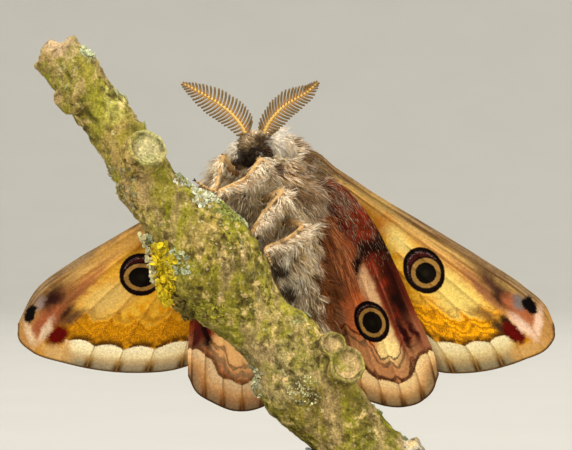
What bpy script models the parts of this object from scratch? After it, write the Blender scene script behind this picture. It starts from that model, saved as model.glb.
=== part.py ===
"""A male emperor moth, life size, clinging to a short cut twig on a small display stand.

The frame: +Z is up, +X is to the right as seen from the front, +Y runs away from the front. The origin is
the centre of the stand's underside. The moth shows its underside to the front, head up, so its own left
wings lie on the +X side. All sizes below are in millimetres, and MM turns them into Blender's metres.
"""

import math

import bmesh
import bpy
import numpy as np
from mathutils import Matrix, Vector, noise

MM = 0.001
GAP = 0.3  # clearance between neighbouring pieces

# The wings, legs and twig are laid out as they appear from a point this far in front of them. Each point
# has its apparent place and its depth, and sight() slides it along the line of sight to that depth.
EYE = np.array([0.0, -350.0, 32.5])

CENTRING = 0.40  # how far moth, twig and rods are moved in X, so that the wing tips are even about the base

# Display stand
BASE_LENGTH, BASE_WIDTH, BASE_HEIGHT = 42.0, 26.0, 3.0
BASE_CORNER = 5.0
ROD_RADIUS = 0.9
ROD_MIDDLE_X, ROD_END_X = 2.8, 9.6

# Twig: apparent place and depth of its middle line (x, y, z), and half its width there
TWIG_LINE = [
    (-23.2, -4.8, 50.0), (-20.9, -4.8, 47.1), (-18.4, -4.7, 43.5), (-16.6, -4.6, 41.3), (-13.9, -4.5, 36.7),
    (-11.2, -4.4, 33.9), (-8.7, -4.4, 31.2), (-7.0, -4.4, 28.2), (-4.8, -4.4, 25.2), (-2.6, -4.3, 22.7),
    (0.1, -4.2, 20.2), (1.9, -4.1, 16.5), (4.5, -4.0, 13.5), (7.6, -3.9, 10.6), (11.2, -3.8, 7.2),
]
TWIG_RADII = [2.5, 2.5, 2.5, 2.5, 2.9, 3.3, 4.4, 4.9, 4.1, 3.4, 3.8, 4.6, 3.9, 3.4, 3.3]
TWIG_FLATTENING = 0.78  # its thickness from front to back, as a share of its width
TWIG_RELIEF = 0.28  # height of the bark's swellings
TWIG_FOOT = BASE_HEIGHT + 6.0  # height of the level cut at its lower end

# Stumps of side shoots: start and end of their middle line, and radius at both
STUMPS = {
    "broken_tip": ((-22.2, -4.8, 49.0), (-24.2, -5.0, 50.2), 1.6, 1.1),
    "broken_lobe": ((-21.6, -4.8, 48.6), (-22.3, -4.6, 50.7), 1.4, 1.0),
    "bud": ((-20.4, -4.7, 48.2), (-19.3, -4.9, 49.3), 1.1, 0.9),
    "swelling": ((-20.4, -4.8, 45.9), (-22.3, -5.6, 44.8), 1.9, 1.3),
    "sawn_high": ((-15.2, -4.7, 38.6), (-13.8, -7.5, 40.2), 2.3, 2.0),
    "sawn_small": ((3.6, -4.4, 19.8), (4.8, -7.9, 20.6), 1.6, 1.25),
    "sawn_low": ((4.6, -4.2, 17.6), (6.2, -7.6, 18.6), 2.2, 1.85),
    "flake": ((-1.0, -4.3, 16.8), (-3.1, -4.8, 16.2), 1.4, 0.7),
    "low_stub": ((11.0, -4.0, 8.9), (13.5, -4.6, 10.3), 1.5, 1.2),
}

# Body: the fur's outer shape is given, and the core under the locks is a share of it
HEAD_CENTRE, HEAD_HALF, HEAD_CORE = (-3.05, 2.5, 40.05), (2.3, 2.3, 2.1), 0.76
THORAX_CENTRE, THORAX_HALF, THORAX_CORE = (-1.9, 4.7, 35.8), (6.0, 4.9, 5.7), 0.73
THORAX_LEAN = 14.0  # degrees that the tail end swings towards +X
COLLAR_CENTRE, COLLAR_HALF, COLLAR_CORE = (-2.6, 4.9, 38.9), (4.2, 2.7, 2.9), 0.74
ABDOMEN_LINE = [(-0.9, 5.0, 33.0), (0.3, 4.9, 29.8), (1.3, 4.8, 26.8), (2.3, 4.7, 23.9), (3.1, 4.6, 21.6)]
ABDOMEN_RADII = [3.6, 3.5, 3.0, 2.3, 0.9]
ABDOMEN_CORE = 0.74
EYE_RADIUS = 0.72
EYES = {"eye_left": (-2.35, 1.2, 39.6), "eye_right": (-4.45, 1.9, 39.5)}

# Locks of fur: how many, their length, width and thickness, and how far the tips stand off the core
LOCKS = {
    "thorax": {"count": 54, "length": 3.9, "width": 2.5, "thick": 0.75, "rise": 1.35},
    "collar": {"count": 20, "length": 2.4, "width": 1.6, "thick": 0.65, "rise": 0.9},
    "abdomen": {"rows": 6, "around": 7, "length": 3.2, "width": 1.9, "thick": 0.7, "rise": 0.75},
    "head": {"count": 25, "length": 1.5, "width": 1.2, "thick": 0.6, "rise": 0.55},
    "leg": {"length": 2.0, "width": 1.0, "thick": 0.5, "rise": 0.2},
}
LOCK_SINK = 0.7  # depth of a lock's root in the core

# Wings: thickness of the membrane, height of a vein's ridge on each face, and half a ridge's width as a
# share of the wing's width
MEMBRANE, RIDGE, RIDGE_HALF = 0.46, 0.13, 0.02
WING_ROWS = 10
FOREWING_VEINS = [0.045, 0.17, 0.30, 0.43, 0.57, 0.72, 0.88]
HINDWING_VEINS = [0.06, 0.22, 0.38, 0.54, 0.70, 0.87]
CELL_END = 0.42  # the veins in the middle start where the wing's closed cell ends

# The four edges of each wing: leading edge from root to tip, outer margin from tip to inner corner, and
# inner edge from root to inner corner
FOREWING_LEFT = {
    "leading": [(0.9, 5.3, 38.6), (2.4, 5.5, 39.7), (4.0, 5.3, 39.0), (8.5, 4.2, 35.6), (14.8, 2.6, 32.0),
                (19.4, 1.4, 29.4), (24.3, 0.2, 25.9), (26.7, -0.4, 22.8)],
    "outer": [(26.7, -0.4, 22.8), (26.9, -0.3, 21.4), (26.2, 0.0, 20.2), (23.8, 0.5, 19.0),
              (18.4, 1.6, 17.7), (15.3, 2.6, 17.8), (12.5, 3.8, 19.0)],
    "inner": [(1.6, 6.4, 35.0), (5.8, 6.6, 31.0), (8.8, 6.0, 26.0), (12.5, 3.8, 19.0)],
}
FOREWING_RIGHT = {
    "leading": [(-4.6, 5.4, 38.2), (-6.2, 6.0, 37.8), (-8.5, 6.6, 36.5), (-14.6, 8.2, 32.8),
                (-18.2, 9.1, 30.7), (-21.4, 9.9, 28.8), (-25.0, 10.8, 26.0), (-26.8, 11.3, 22.6)],
    "outer": [(-26.8, 11.3, 22.6), (-26.7, 11.2, 21.0), (-25.4, 10.9, 19.8), (-22.2, 10.1, 18.7),
              (-15.0, 8.9, 17.7), (-11.2, 8.3, 18.0), (-8.1, 7.8, 19.0)],
    "inner": [(-4.0, 6.9, 34.5), (-5.6, 7.4, 30.5), (-6.8, 7.7, 25.5), (-8.1, 7.8, 19.0)],
}
HINDWING_LEFT = {
    "leading": [(1.5, 4.9, 35.4), (4.2, 4.3, 37.1), (6.1, 3.5, 36.0), (7.9, 3.1, 34.0), (10.8, 2.4, 28.8),
                (13.0, 1.8, 23.7), (14.8, 1.2, 19.6), (15.3, 1.0, 17.6)],
    "outer": [(15.3, 1.0, 17.6), (14.6, 1.2, 15.8), (13.3, 1.7, 14.7), (11.9, 2.4, 14.3), (8.8, 4.0, 14.7),
              (6.6, 5.2, 15.8), (5.2, 6.0, 17.6)],
    "inner": [(0.8, 5.8, 33.0), (2.0, 7.2, 30.4), (2.9, 7.7, 27.0), (3.9, 7.4, 22.6), (5.2, 6.0, 17.6)],
}
HINDWING_RIGHT = {
    "leading": [(-4.4, 5.0, 34.8), (-6.0, 5.2, 33.6), (-8.0, 5.5, 29.5), (-9.3, 5.8, 25.0), (-9.8, 5.9, 20.3),
                (-9.8, 6.0, 17.4)],
    "outer": [(-9.8, 6.0, 17.4), (-9.0, 6.1, 15.8), (-7.3, 6.4, 14.7), (-5.2, 6.8, 13.9), (-3.2, 7.1, 14.0),
              (-1.2, 7.4, 15.0), (0.2, 7.6, 17.0)],
    "inner": [(-2.6, 6.6, 32.6), (-1.4, 7.9, 26.0), (0.0, 8.0, 21.5), (0.2, 7.6, 17.0)],
}

# Antennae: middle line from the head outwards
ANTENNAE = {
    "antenna_left": [(-2.4, 2.4, 41.0), (-1.9, 2.1, 42.4), (-1.2, 1.8, 43.4), (-0.2, 1.6, 44.4),
                     (0.9, 1.4, 45.1), (2.1, 1.3, 45.8), (3.2, 1.2, 46.8)],
    "antenna_right": [(-3.8, 2.4, 41.1), (-4.5, 2.3, 42.5), (-5.4, 2.3, 43.6), (-6.8, 2.4, 44.7),
                      (-8.3, 2.5, 45.6), (-9.4, 2.6, 46.2), (-10.4, 2.7, 46.7)],
}
STALK_RADII = (0.33, 0.26)  # at the head and at the tip
RAY_LENGTHS = [1.2, 1.75, 2.05, 2.15, 2.1, 1.9, 1.6, 1.25, 0.9, 0.55]  # on each side, from the head outwards
RAYS_FROM, RAYS_TO = 0.13, 0.93  # stretch of the stalk that carries them, as shares of its length
RAY_SWEEP = 0.62  # how far a ray leans towards the antenna's tip, per unit sideways
RAY_THICK, RAY_WIDE = 0.5, 0.42

# Legs: radius at the hip, thigh, knee, shin, ankle, heel and foot
LEG_RADII = [0.60, 0.52, 0.42, 0.38, 0.30, 0.27, 0.25]
LEG_LIFT = GAP + 0.25  # from the twig's surface to the middle of a foot


def sight(points):
    """Slides points from their apparent place at depth 0 along the line of sight to their own depth."""
    points = np.array(points, float)
    reach = (points[..., 1:2] - EYE[1]) / -EYE[1]
    flat = points.copy()
    flat[..., 1] = 0.0
    return EYE + (flat - EYE) * reach


def unit(vectors):
    return vectors / np.maximum(np.linalg.norm(vectors, axis=-1, keepdims=True), 1e-9)


def distances(points):
    """Length along the line of points, from its start to each of them."""
    steps = np.linalg.norm(np.diff(np.array(points, float), axis=0), axis=1)
    return np.concatenate([[0.0], np.cumsum(steps)])


def along(points, places):
    """Points of a smooth curve through the given ones, at shares (0 to 1) of its length."""
    points = np.array(points, float)
    knots = distances(points)
    slopes = np.gradient(points, knots, axis=0)
    where = np.clip(np.asarray(places, float), 0, 1) * knots[-1]
    i = np.clip(np.searchsorted(knots, where, side="right") - 1, 0, len(knots) - 2)
    span = (knots[i + 1] - knots[i])[:, None]
    t = ((where - knots[i]) / span[:, 0])[:, None]
    return (
        points[i] * (2 * t**3 - 3 * t**2 + 1)
        + slopes[i] * span * (t**3 - 2 * t**2 + t)
        + points[i + 1] * (3 * t**2 - 2 * t**3)
        + slopes[i + 1] * span * (t**3 - t**2)
    )


def carry(values, points, places):
    """Values given at the points, read at the same places as along()."""
    knots = distances(points)
    return np.interp(places, knots / knots[-1], values)


def material(name, colour, roughness, metallic=0.0):
    made = bpy.data.materials.new(name)
    made.use_nodes = True
    shader = made.node_tree.nodes["Principled BSDF"]
    shader.inputs["Base Color"].default_value = (*colour, 1.0)
    shader.inputs["Roughness"].default_value = roughness
    shader.inputs["Metallic"].default_value = metallic
    made.diffuse_color = (*colour, 1.0)
    return made


def new_object(name, mesh):
    made = bpy.data.objects.new(name, mesh)
    helpers.objects.link(made)
    return made


def from_bmesh(name, shape):
    bmesh.ops.recalc_face_normals(shape, faces=shape.faces)
    mesh = bpy.data.meshes.new(name)
    shape.to_mesh(mesh)
    shape.free()
    return new_object(name, mesh)


def evaluated_mesh(obj):
    bpy.context.view_layer.update()
    return bpy.data.meshes.new_from_object(obj.evaluated_get(bpy.context.evaluated_depsgraph_get()))


def settle(obj):
    """Makes the object's modifiers part of its mesh."""
    mesh = evaluated_mesh(obj)
    obj.modifiers.clear()
    obj.data = mesh
    return obj


def keep_largest(obj):
    """Keeps only the object's largest closed surface."""
    shape = bmesh.new()
    shape.from_mesh(obj.data)
    left, islands = set(shape.faces), []
    while left:
        front = [left.pop()]
        island = []
        while front:
            face = front.pop()
            island.append(face)
            for edge in face.edges:
                for other in edge.link_faces:
                    if other in left:
                        left.remove(other)
                        front.append(other)
        islands.append(island)
    islands.sort(key=lambda faces: sum(face.calc_area() for face in faces))
    bmesh.ops.delete(shape, geom=[face for island in islands[:-1] for face in island], context="FACES")
    shape.to_mesh(obj.data)
    shape.free()
    return obj


def combine(obj, others, operation):
    """Joins the others to the object, or cuts them from it, and removes them."""
    if not others:
        return obj
    group = bpy.data.collections.new("joining")
    for other in others:
        group.objects.link(other)
    step = obj.modifiers.new(operation.lower(), "BOOLEAN")
    step.operation = operation
    step.operand_type = "COLLECTION"
    step.collection = group
    step.solver = "MANIFOLD"
    settle(obj)
    for other in others:
        bpy.data.objects.remove(other)
    bpy.data.collections.remove(group)
    return obj


def loft(name, rings):
    """A closed skin over rings of points that all have the same number of points."""
    shape = bmesh.new()
    corners = [[shape.verts.new(Vector(point) * MM) for point in ring] for ring in rings]
    sides = len(corners[0])
    for low, high in zip(corners, corners[1:]):
        for k in range(sides):
            shape.faces.new((low[k - 1], low[k], high[k], high[k - 1]))
    shape.faces.new(corners[0])
    shape.faces.new(corners[-1])
    bmesh.ops.triangulate(shape, faces=shape.faces)
    return from_bmesh(name, shape)


def tube(name, points, radii, rings, sides, grow=0.0):
    """A round tube along a smooth curve through the points, with flat caps."""
    places = np.linspace(0, 1, rings)
    path = along(points, places)
    thick = carry(radii, points, places) + grow
    path[0] += grow * unit(path[0] - path[1])
    path[-1] += grow * unit(path[-1] - path[-2])
    data = bpy.data.curves.new(name, "CURVE")
    data.dimensions = "3D"
    data.bevel_depth = MM
    data.bevel_resolution = (sides - 4) // 2
    data.use_fill_caps = True
    spline = data.splines.new("POLY")
    spline.points.add(rings - 1)
    for point, place, radius in zip(spline.points, path * MM, thick):
        point.co = (*place, 1.0)
        point.radius = radius
    curve = new_object(name, data)
    mesh = evaluated_mesh(curve)
    bpy.data.objects.remove(curve)
    shape = bmesh.new()
    shape.from_mesh(mesh)
    bmesh.ops.remove_doubles(shape, verts=shape.verts, dist=0.01 * MM)
    return from_bmesh(name, shape)


def ball(name, centre, half, segments, rings, lean=0.0, grow=0.0):
    """An ellipsoid about centre, leaning by so many degrees in the X-Z plane."""
    shape = bmesh.new()
    bmesh.ops.create_uvsphere(shape, u_segments=segments, v_segments=rings, radius=MM)
    sizes = Matrix.Diagonal([side + grow for side in half]).to_4x4()
    place = Matrix.Translation(Vector(centre) * MM) @ Matrix.Rotation(math.radians(-lean), 4, "Y")
    bmesh.ops.transform(shape, matrix=place @ sizes, verts=shape.verts)
    return from_bmesh(name, shape)


def block(name, low, high):
    shape = bmesh.new()
    bmesh.ops.create_cube(shape, size=1.0)
    low, high = np.array(low), np.array(high)
    for vert in shape.verts:
        vert.co = Vector((np.array(vert.co) + 0.5) * (high - low) + low) * MM
    return from_bmesh(name, shape)


def lock(root, normal, lie, kind, size, grow=0.0):
    """A flat, tapered lock of fur. It leaves the core at a slant, bends over and runs along the lie."""
    form = LOCKS[kind]
    lie = unit(lie - np.dot(lie, normal) * normal)
    side = np.cross(lie, normal)
    rings = []
    for t, broad, deep in ((0, 0.75, 1.0), (0.36, 1.0, 0.95), (0.72, 0.72, 0.7), (1, 0.16, 0.4)):
        onward = t * form["length"] * size + grow * (2 * t - 1)
        outward = (form["rise"] + LOCK_SINK) * (1 - (1 - t) ** 1.6) - LOCK_SINK - 0.12 * onward * t**2
        middle = root + onward * lie + outward * normal
        wide = form["width"] * size * broad / 2 + grow
        thick = form["thick"] * deep / 2 + grow
        rings.append([middle + wide * side, middle + thick * normal, middle - wide * side,
                      middle - thick * normal])
    return loft("lock", rings)


def wing_patch(wing, rows, columns):
    """A grid of points inside the wing's four edges. Rows run from the root (0) to the outer margin (1),
    columns from the leading edge (0) to the inner edge (1), and the inside is blended from the edges."""
    s, t = np.array(rows)[:, None, None], np.array(columns)[None, :, None]
    leading = along(wing["leading"], rows)[:, None]
    inner = along(wing["inner"], rows)[:, None]
    outer = along(wing["outer"], columns)[None]
    root = (1 - t) * leading[0] + t * inner[0]
    corners = (1 - s) * root + s * ((1 - t) * leading[-1] + t * inner[-1])
    return sight((1 - t) * leading + t * inner + (1 - s) * root + s * outer - corners)


def wing_sheet(name, wing, veins, grow=0.0):
    """The wing's membrane, split into the same triangles on both faces. A column of points on each vein,
    where the membrane is thicker, raises the vein as a ridge."""
    rows = np.linspace(0, 1, WING_ROWS)
    columns, ridge = [0.0, 1.0], [0.0, 0.0]
    for vein in ([] if grow else veins):
        columns += [vein - RIDGE_HALF, vein, vein + RIDGE_HALF]
        ridge += [0.0, 1.0, 0.0]
    if grow:
        columns += list(np.linspace(0, 1, 9)[1:-1])
        ridge += [0.0] * 7
    order = np.argsort(columns)
    columns, ridge = np.array(columns)[order], np.array(ridge)[order]
    grid = wing_patch(wing, rows, columns)
    if grow:
        grid[0] += grow * unit(grid[0] - grid[1])
        grid[-1] += grow * unit(grid[-1] - grid[-2])
        grid[:, 0] += grow * unit(grid[:, 0] - grid[:, 1])
        grid[:, -1] += grow * unit(grid[:, -1] - grid[:, -2])
    shape = bmesh.new()
    bmesh.ops.create_grid(shape, x_segments=len(columns) - 1, y_segments=len(rows) - 1, size=1.0)
    raised = []
    for vert in shape.verts:
        column = round((vert.co.x + 1) / 2 * (len(columns) - 1))
        row = round((vert.co.y + 1) / 2 * (len(rows) - 1))
        vert.co = grid[row, column] * MM
        in_cell = 0.2 < columns[column] < 0.65 and rows[row] < CELL_END
        if ridge[column] and not in_cell:
            raised.append(vert.index)
    bmesh.ops.triangulate(shape, faces=shape.faces, quad_method="FIXED")
    sheet = from_bmesh(name, shape)
    sheet.vertex_groups.new(name="veins").add(raised, 1.0, "REPLACE")
    solid = sheet.modifiers.new("membrane", "SOLIDIFY")
    solid.thickness = (MEMBRANE + 2 * RIDGE + 2 * grow) * MM
    solid.offset = 0.0
    solid.use_even_offset = False
    if not grow:
        solid.vertex_group = "veins"
        solid.thickness_vertex_group = MEMBRANE / (MEMBRANE + 2 * RIDGE)
    settle(sheet)
    shape = bmesh.new()
    shape.from_mesh(sheet.data)
    bmesh.ops.recalc_face_normals(shape, faces=shape.faces)
    shape.to_mesh(sheet.data)
    shape.free()
    return sheet


def twig_place(share, turn, lift=LEG_LIFT):
    """A point on the twig at a share of its length. Turn 0 faces the upper right, 90 the back."""
    line = sight(TWIG_LINE)
    here, ahead = along(line, [share, share + 0.01])
    onward = unit(ahead - here)
    side = unit(np.cross(onward, (0, 1, 0)))
    side *= math.copysign(1.0, side[0])
    radius = carry(TWIG_RADII, line, share)
    angle = math.radians(turn)
    across = (radius + lift) * math.cos(angle) * side
    return here + across + (radius * TWIG_FLATTENING + lift) * math.sin(angle) * np.array([0, 1, 0])


def twig_stem(grow=0.0):
    """The twig's stem: a tube, flattened from front to back about its middle line, with swellings."""
    line = sight(TWIG_LINE)
    stem = tube("twig", line, TWIG_RADII, 32, 12, grow)
    path = along(line, np.linspace(0, 1, 200))
    for vert in stem.data.vertices:
        place = np.array(vert.co) / MM
        middle = path[np.argmin(np.linalg.norm(path - place, axis=1))]
        place[1] = middle[1] + (place[1] - middle[1]) * TWIG_FLATTENING
        swell = TWIG_RELIEF * noise.noise(Vector(place) * 0.33) + TWIG_RELIEF / 2 * noise.noise(Vector(place))
        vert.co = Vector(place + swell * unit(place - middle)) * MM
    return stem


def stump(name, start, end, low, high):
    return tube(name, sight([start, end]), [low, high], 3, 12)


def leg_lines():
    """The six legs' middle lines, from the hip to the foot. The feet lie on the twig."""
    return {
        "foreleg_left": [*sight([(-0.9, 2.0, 36.9), (-1.5, -0.6, 38.0), (-2.3, -1.7, 39.0), (-4.0, -2.9, 37.2)]),
                         twig_place(0.396, 4), twig_place(0.405, 20), twig_place(0.42, 36)],
        "foreleg_right": [*sight([(-4.4, 2.2, 37.0), (-5.6, 0.3, 38.2), (-6.2, -1.0, 39.3), (-6.7, -2.2, 37.5)]),
                          twig_place(0.385, 6), twig_place(0.372, 8), twig_place(0.352, 12)],
        "midleg_left": [*sight([(-3.0, 1.8, 34.3), (-1.8, -0.8, 35.3), (-0.4, -1.6, 35.9), (-2.2, -2.6, 33.7)]),
                        twig_place(0.462, 6), twig_place(0.470, 22), twig_place(0.482, 38)],
        "midleg_right": [*sight([(-4.6, 2.2, 34.4), (-6.0, 1.6, 34.3), (-7.0, 1.2, 33.7), (-7.4, 0.9, 32.6)]),
                         twig_place(0.45, 70), twig_place(0.462, 78), twig_place(0.48, 82)],
        "hindleg_left": [*sight([(-0.6, 1.8, 32.2), (0.6, -0.4, 32.8), (1.6, -1.3, 32.4), (-0.2, -2.3, 30.9)]),
                         twig_place(0.522, 6), twig_place(0.535, 5), twig_place(0.553, 7)],
        "hindleg_right": [*sight([(-3.0, 2.6, 31.7), (-4.0, 1.9, 30.6), (-4.3, 1.5, 29.6), (-4.5, 1.0, 28.6)]),
                          twig_place(0.545, 60), twig_place(0.56, 66), twig_place(0.58, 70)],
    }


def leg_tube(name, grow=0.0):
    return tube(name, LEGS[name], LEG_RADII, 12, 6 if grow else 8, grow)


def leg_locks(name, grow=0.0):
    """Fur under the shin and thigh of the legs that show, hanging back along the body."""
    if name.endswith("right") and name != "foreleg_right":
        return []
    made = []
    for share in (0.28, 0.40, 0.52):
        root, ahead = along(LEGS[name], [share, share + 0.02])
        lie = np.array([0.45, 0.1, -0.9]) if name != "foreleg_right" else np.array([-0.5, 0.1, -0.85])
        shin = unit(ahead - root)
        lie = unit(lie - 0.6 * np.dot(lie, shin) * shin)
        normal = unit(np.cross(np.cross(lie, (0, -1, 0)), lie))
        made.append(lock(root + 0.5 * normal, normal, lie, "leg", 1.15 - 0.5 * share, grow))
    return made


def antenna_stalk(name, grow=0.0):
    line = sight(ANTENNAE[name])
    return tube(name, line, np.linspace(*STALK_RADII, len(line)), 12, 6, grow)


def antenna_rays(name, grow=0.0):
    """The comb: tapered rays along both sides of the stalk, swept towards its tip and bent a little."""
    line = sight(ANTENNAE[name])
    made = []
    for share, length in zip(np.linspace(RAYS_FROM, RAYS_TO, len(RAY_LENGTHS)), RAY_LENGTHS):
        root, ahead = along(line, [share, share + 0.01])
        onward = unit(ahead - root)
        across = unit(np.cross(onward, (0, 1, 0)))
        for turn in (1, -1):
            lie = unit(turn * across + RAY_SWEEP * onward)
            flat = np.cross(lie, (0, 1, 0))
            rings = []
            for t, broad in ((0, 1.0), (0.55, 0.9), (1, 0.5)):
                middle = root + (t * (length + grow)) * lie + 0.14 * length * t**2 * (onward + (0, -0.8, 0))
                wide = unit(flat) * (RAY_WIDE * broad / 2 + grow)
                thick = np.array([0, RAY_THICK * broad / 2 + grow, 0])
                rings.append([middle + wide, middle + thick, middle - wide, middle - thick])
            made.append(loft("ray", rings))
    return made


def ellipsoid_locks(kind, centre, half, core, lean, source, keep):
    """Locks over an ellipsoid's core, evenly spread, that lie away from the source point."""
    count = LOCKS[kind]["count"]
    draw = np.random.default_rng(count)
    turn = np.array(Matrix.Rotation(math.radians(-lean), 3, "Y"))
    made = []
    for k in range(count):
        height = 1 - (2 * k + 1) / count
        angle = k * math.pi * (3 - math.sqrt(5)) + draw.uniform(-0.15, 0.15)
        flat = math.sqrt(1 - height * height)
        ball_point = np.array([flat * math.cos(angle), flat * math.sin(angle), height])
        root = np.array(centre) + turn @ (ball_point * np.array(half) * core)
        normal = unit(turn @ (ball_point / np.array(half)))
        if keep(root, normal):
            made.append(lock(root, normal, root - np.array(source) + draw.normal(0, 0.5, 3), kind,
                             draw.uniform(0.88, 1.12)))
    return made


def abdomen_locks():
    """Rows of locks round the abdomen, each row over the next, that lie towards its tip."""
    form = LOCKS["abdomen"]
    draw = np.random.default_rng(form["rows"])
    made = []
    for row in range(form["rows"]):
        share = 0.16 + 0.76 * row / (form["rows"] - 1)
        here, ahead = along(ABDOMEN_LINE, [share, share + 0.02])
        onward = unit(ahead - here)
        across = unit(np.cross(onward, (0, 1, 0)))
        back = np.cross(across, onward)
        radius = carry(ABDOMEN_RADII, ABDOMEN_LINE, share) * ABDOMEN_CORE
        for k in range(form["around"]):
            angle = math.tau * (k + 0.5 * (row % 2)) / form["around"] + draw.uniform(-0.12, 0.12)
            normal = math.cos(angle) * across + math.sin(angle) * back
            size = draw.uniform(0.85, 1.12) * (1.0 - 0.28 * share)
            lie = onward + draw.normal(0, 0.12, 3)
            made.append(lock(here + radius * normal, normal, lie, "abdomen", size))
    return made


def head_ball(grow=0.0, share=1.0):
    return ball("head", HEAD_CENTRE, np.array(HEAD_HALF) * share, 14, 10, grow=grow)


def thorax_ball(grow=0.0, share=1.0):
    return ball("thorax", THORAX_CENTRE, np.array(THORAX_HALF) * share, 14, 10, THORAX_LEAN, grow)


def collar_ball(grow=0.0, share=1.0):
    return ball("collar", COLLAR_CENTRE, np.array(COLLAR_HALF) * share, 12, 8, grow=grow)


def abdomen_tube(grow=0.0, share=1.0):
    return tube("abdomen", ABDOMEN_LINE, np.array(ABDOMEN_RADII) * share, 10, 12, grow)


def outside(outer, inner):
    """The part of one solid that lies outside another."""
    return combine(outer, [inner], "DIFFERENCE")


def grown(*kinds):
    """Copies of pieces, larger all round by the gap, to cut their neighbours clear."""
    makers = {
        "wings": lambda: [wing_sheet(name, wing, [], GAP + RIDGE) for name, (wing, _) in WINGS.items()],
        "legs": lambda: [leg_tube(name, GAP) for name in LEGS] + [lock for name in LEGS for lock in
                                                                  leg_locks(name, GAP)],
        "antennae": lambda: [piece for name in ANTENNAE for piece in
                             [antenna_stalk(name, GAP), *antenna_rays(name, GAP)[:4]]],
        "eyes": lambda: [ball("eye", centre, (EYE_RADIUS,) * 3, 10, 7, grow=GAP) for centre in EYES.values()],
        "head": lambda: [head_ball(GAP)],
        "thorax": lambda: [thorax_ball(GAP)],
        "twig": lambda: [twig_stem(GAP)],
    }
    return [piece for kind in kinds for piece in makers[kind]()]


def node(name, pieces, cutters, look):
    """Joins the pieces, cuts the cutters away and keeps the result as the named node."""
    obj = combine(pieces[0], pieces[1:], "UNION")
    combine(obj, cutters, "DIFFERENCE")
    keep_largest(obj)
    obj.name = name
    obj.data.name = name
    obj.data.materials.clear()
    obj.data.materials.append(look)
    obj.data.shade_smooth()
    obj.data.set_sharp_from_angle(angle=math.radians(40))
    helpers.objects.unlink(obj)
    moth.objects.link(obj)
    obj.parent = display
    return obj


for old in list(bpy.data.objects):
    bpy.data.objects.remove(old)

moth = bpy.data.collections.new("emperor_moth")
helpers = bpy.data.collections.new("helpers")
for group in (moth, helpers):
    bpy.context.scene.collection.children.link(group)
helpers.hide_render = True

display = bpy.data.objects.new("display", None)
display.location.x = CENTRING * MM
moth.objects.link(display)

LOOKS = {
    "fur_dark": material("fur_dark", (0.16, 0.10, 0.06), 0.9),
    "fur_grey": material("fur_grey", (0.42, 0.36, 0.28), 0.9),
    "fur_tan": material("fur_tan", (0.60, 0.38, 0.20), 0.85),
    "eye": material("eye", (0.02, 0.02, 0.02), 0.25),
    "antenna": material("antenna", (0.62, 0.36, 0.12), 0.6),
    "forewing": material("forewing", (0.80, 0.47, 0.16), 0.75),
    "hindwing": material("hindwing", (0.62, 0.28, 0.14), 0.75),
    "bark": material("bark", (0.36, 0.33, 0.16), 0.95),
    "stand": material("stand", (0.10, 0.10, 0.10), 0.4),
    "rod": material("rod", (0.55, 0.55, 0.55), 0.3, 1.0),
}

WINGS = {
    "forewing_left": (FOREWING_LEFT, FOREWING_VEINS),
    "forewing_right": (FOREWING_RIGHT, FOREWING_VEINS),
    "hindwing_left": (HINDWING_LEFT, HINDWING_VEINS),
    "hindwing_right": (HINDWING_RIGHT, HINDWING_VEINS),
}
LEGS = leg_lines()

for name, (wing, veins) in WINGS.items():
    node(name, [wing_sheet(name, wing, veins)], [], LOOKS[name.split("_")[0]])
for name in LEGS:
    node(name, [leg_tube(name), *leg_locks(name)], [], LOOKS["fur_tan"])
for name in ANTENNAE:
    node(name, [antenna_stalk(name), *antenna_rays(name)], [], LOOKS["antenna"])
for name, centre in EYES.items():
    node(name, [ball("eye", centre, (EYE_RADIUS,) * 3, 12, 8)], [], LOOKS["eye"])

head_fur = ellipsoid_locks("head", HEAD_CENTRE, HEAD_HALF, HEAD_CORE, 0.0, (-3.4, -1.5, 38.6),
                           lambda root, normal: normal[2] > -0.6)
node("head", [head_ball(share=HEAD_CORE), *head_fur],
     [*grown("antennae", "eyes", "legs"), outside(thorax_ball(), head_ball()),
      outside(collar_ball(), head_ball())], LOOKS["fur_dark"])
thorax_fur = ellipsoid_locks("thorax", THORAX_CENTRE, THORAX_HALF, THORAX_CORE, THORAX_LEAN,
                             (-3.6, 4.2, 42.5), lambda root, normal: root[2] < 38.6)
collar_fur = ellipsoid_locks("collar", COLLAR_CENTRE, COLLAR_HALF, COLLAR_CORE, 0.0,
                             (-3.2, 2.6, 40.4), lambda root, normal: normal[2] > -0.3)
node("thorax", [thorax_ball(share=THORAX_CORE), collar_ball(share=COLLAR_CORE), *thorax_fur, *collar_fur],
     [*grown("head", "eyes", "antennae", "legs", "wings", "twig"), outside(abdomen_tube(GAP), thorax_ball())],
     LOOKS["fur_grey"])
node("abdomen", [abdomen_tube(share=ABDOMEN_CORE), *abdomen_locks()], grown("thorax", "legs", "wings", "twig"),
     LOOKS["fur_grey"])

SWEEP = 60.0  # wider and longer than everything, for cutting a level foot
foot_cut = block("foot_cut", (-SWEEP, -SWEEP, -SWEEP), (SWEEP, SWEEP, TWIG_FOOT))
node("twig", [twig_stem(), *(stump(name, *form) for name, form in STUMPS.items())],
     [foot_cut, *grown("legs")], LOOKS["bark"])

for name, x in (("stand_rod_middle", ROD_MIDDLE_X), ("stand_rod_end", ROD_END_X)):
    y = float(np.interp(x, [point[0] for point in TWIG_LINE], [point[1] for point in TWIG_LINE]))
    rod = tube(name, [(x, y, BASE_HEIGHT + GAP), (x, y, TWIG_FOOT + 6.0)], [ROD_RADIUS] * 2, 2, 12)
    lift = block("foot_cut", (-SWEEP, -SWEEP, TWIG_FOOT - GAP), (SWEEP, SWEEP, SWEEP))
    node(name, [rod], grown("twig") if name == "stand_rod_middle" else [lift], LOOKS["rod"])

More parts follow.
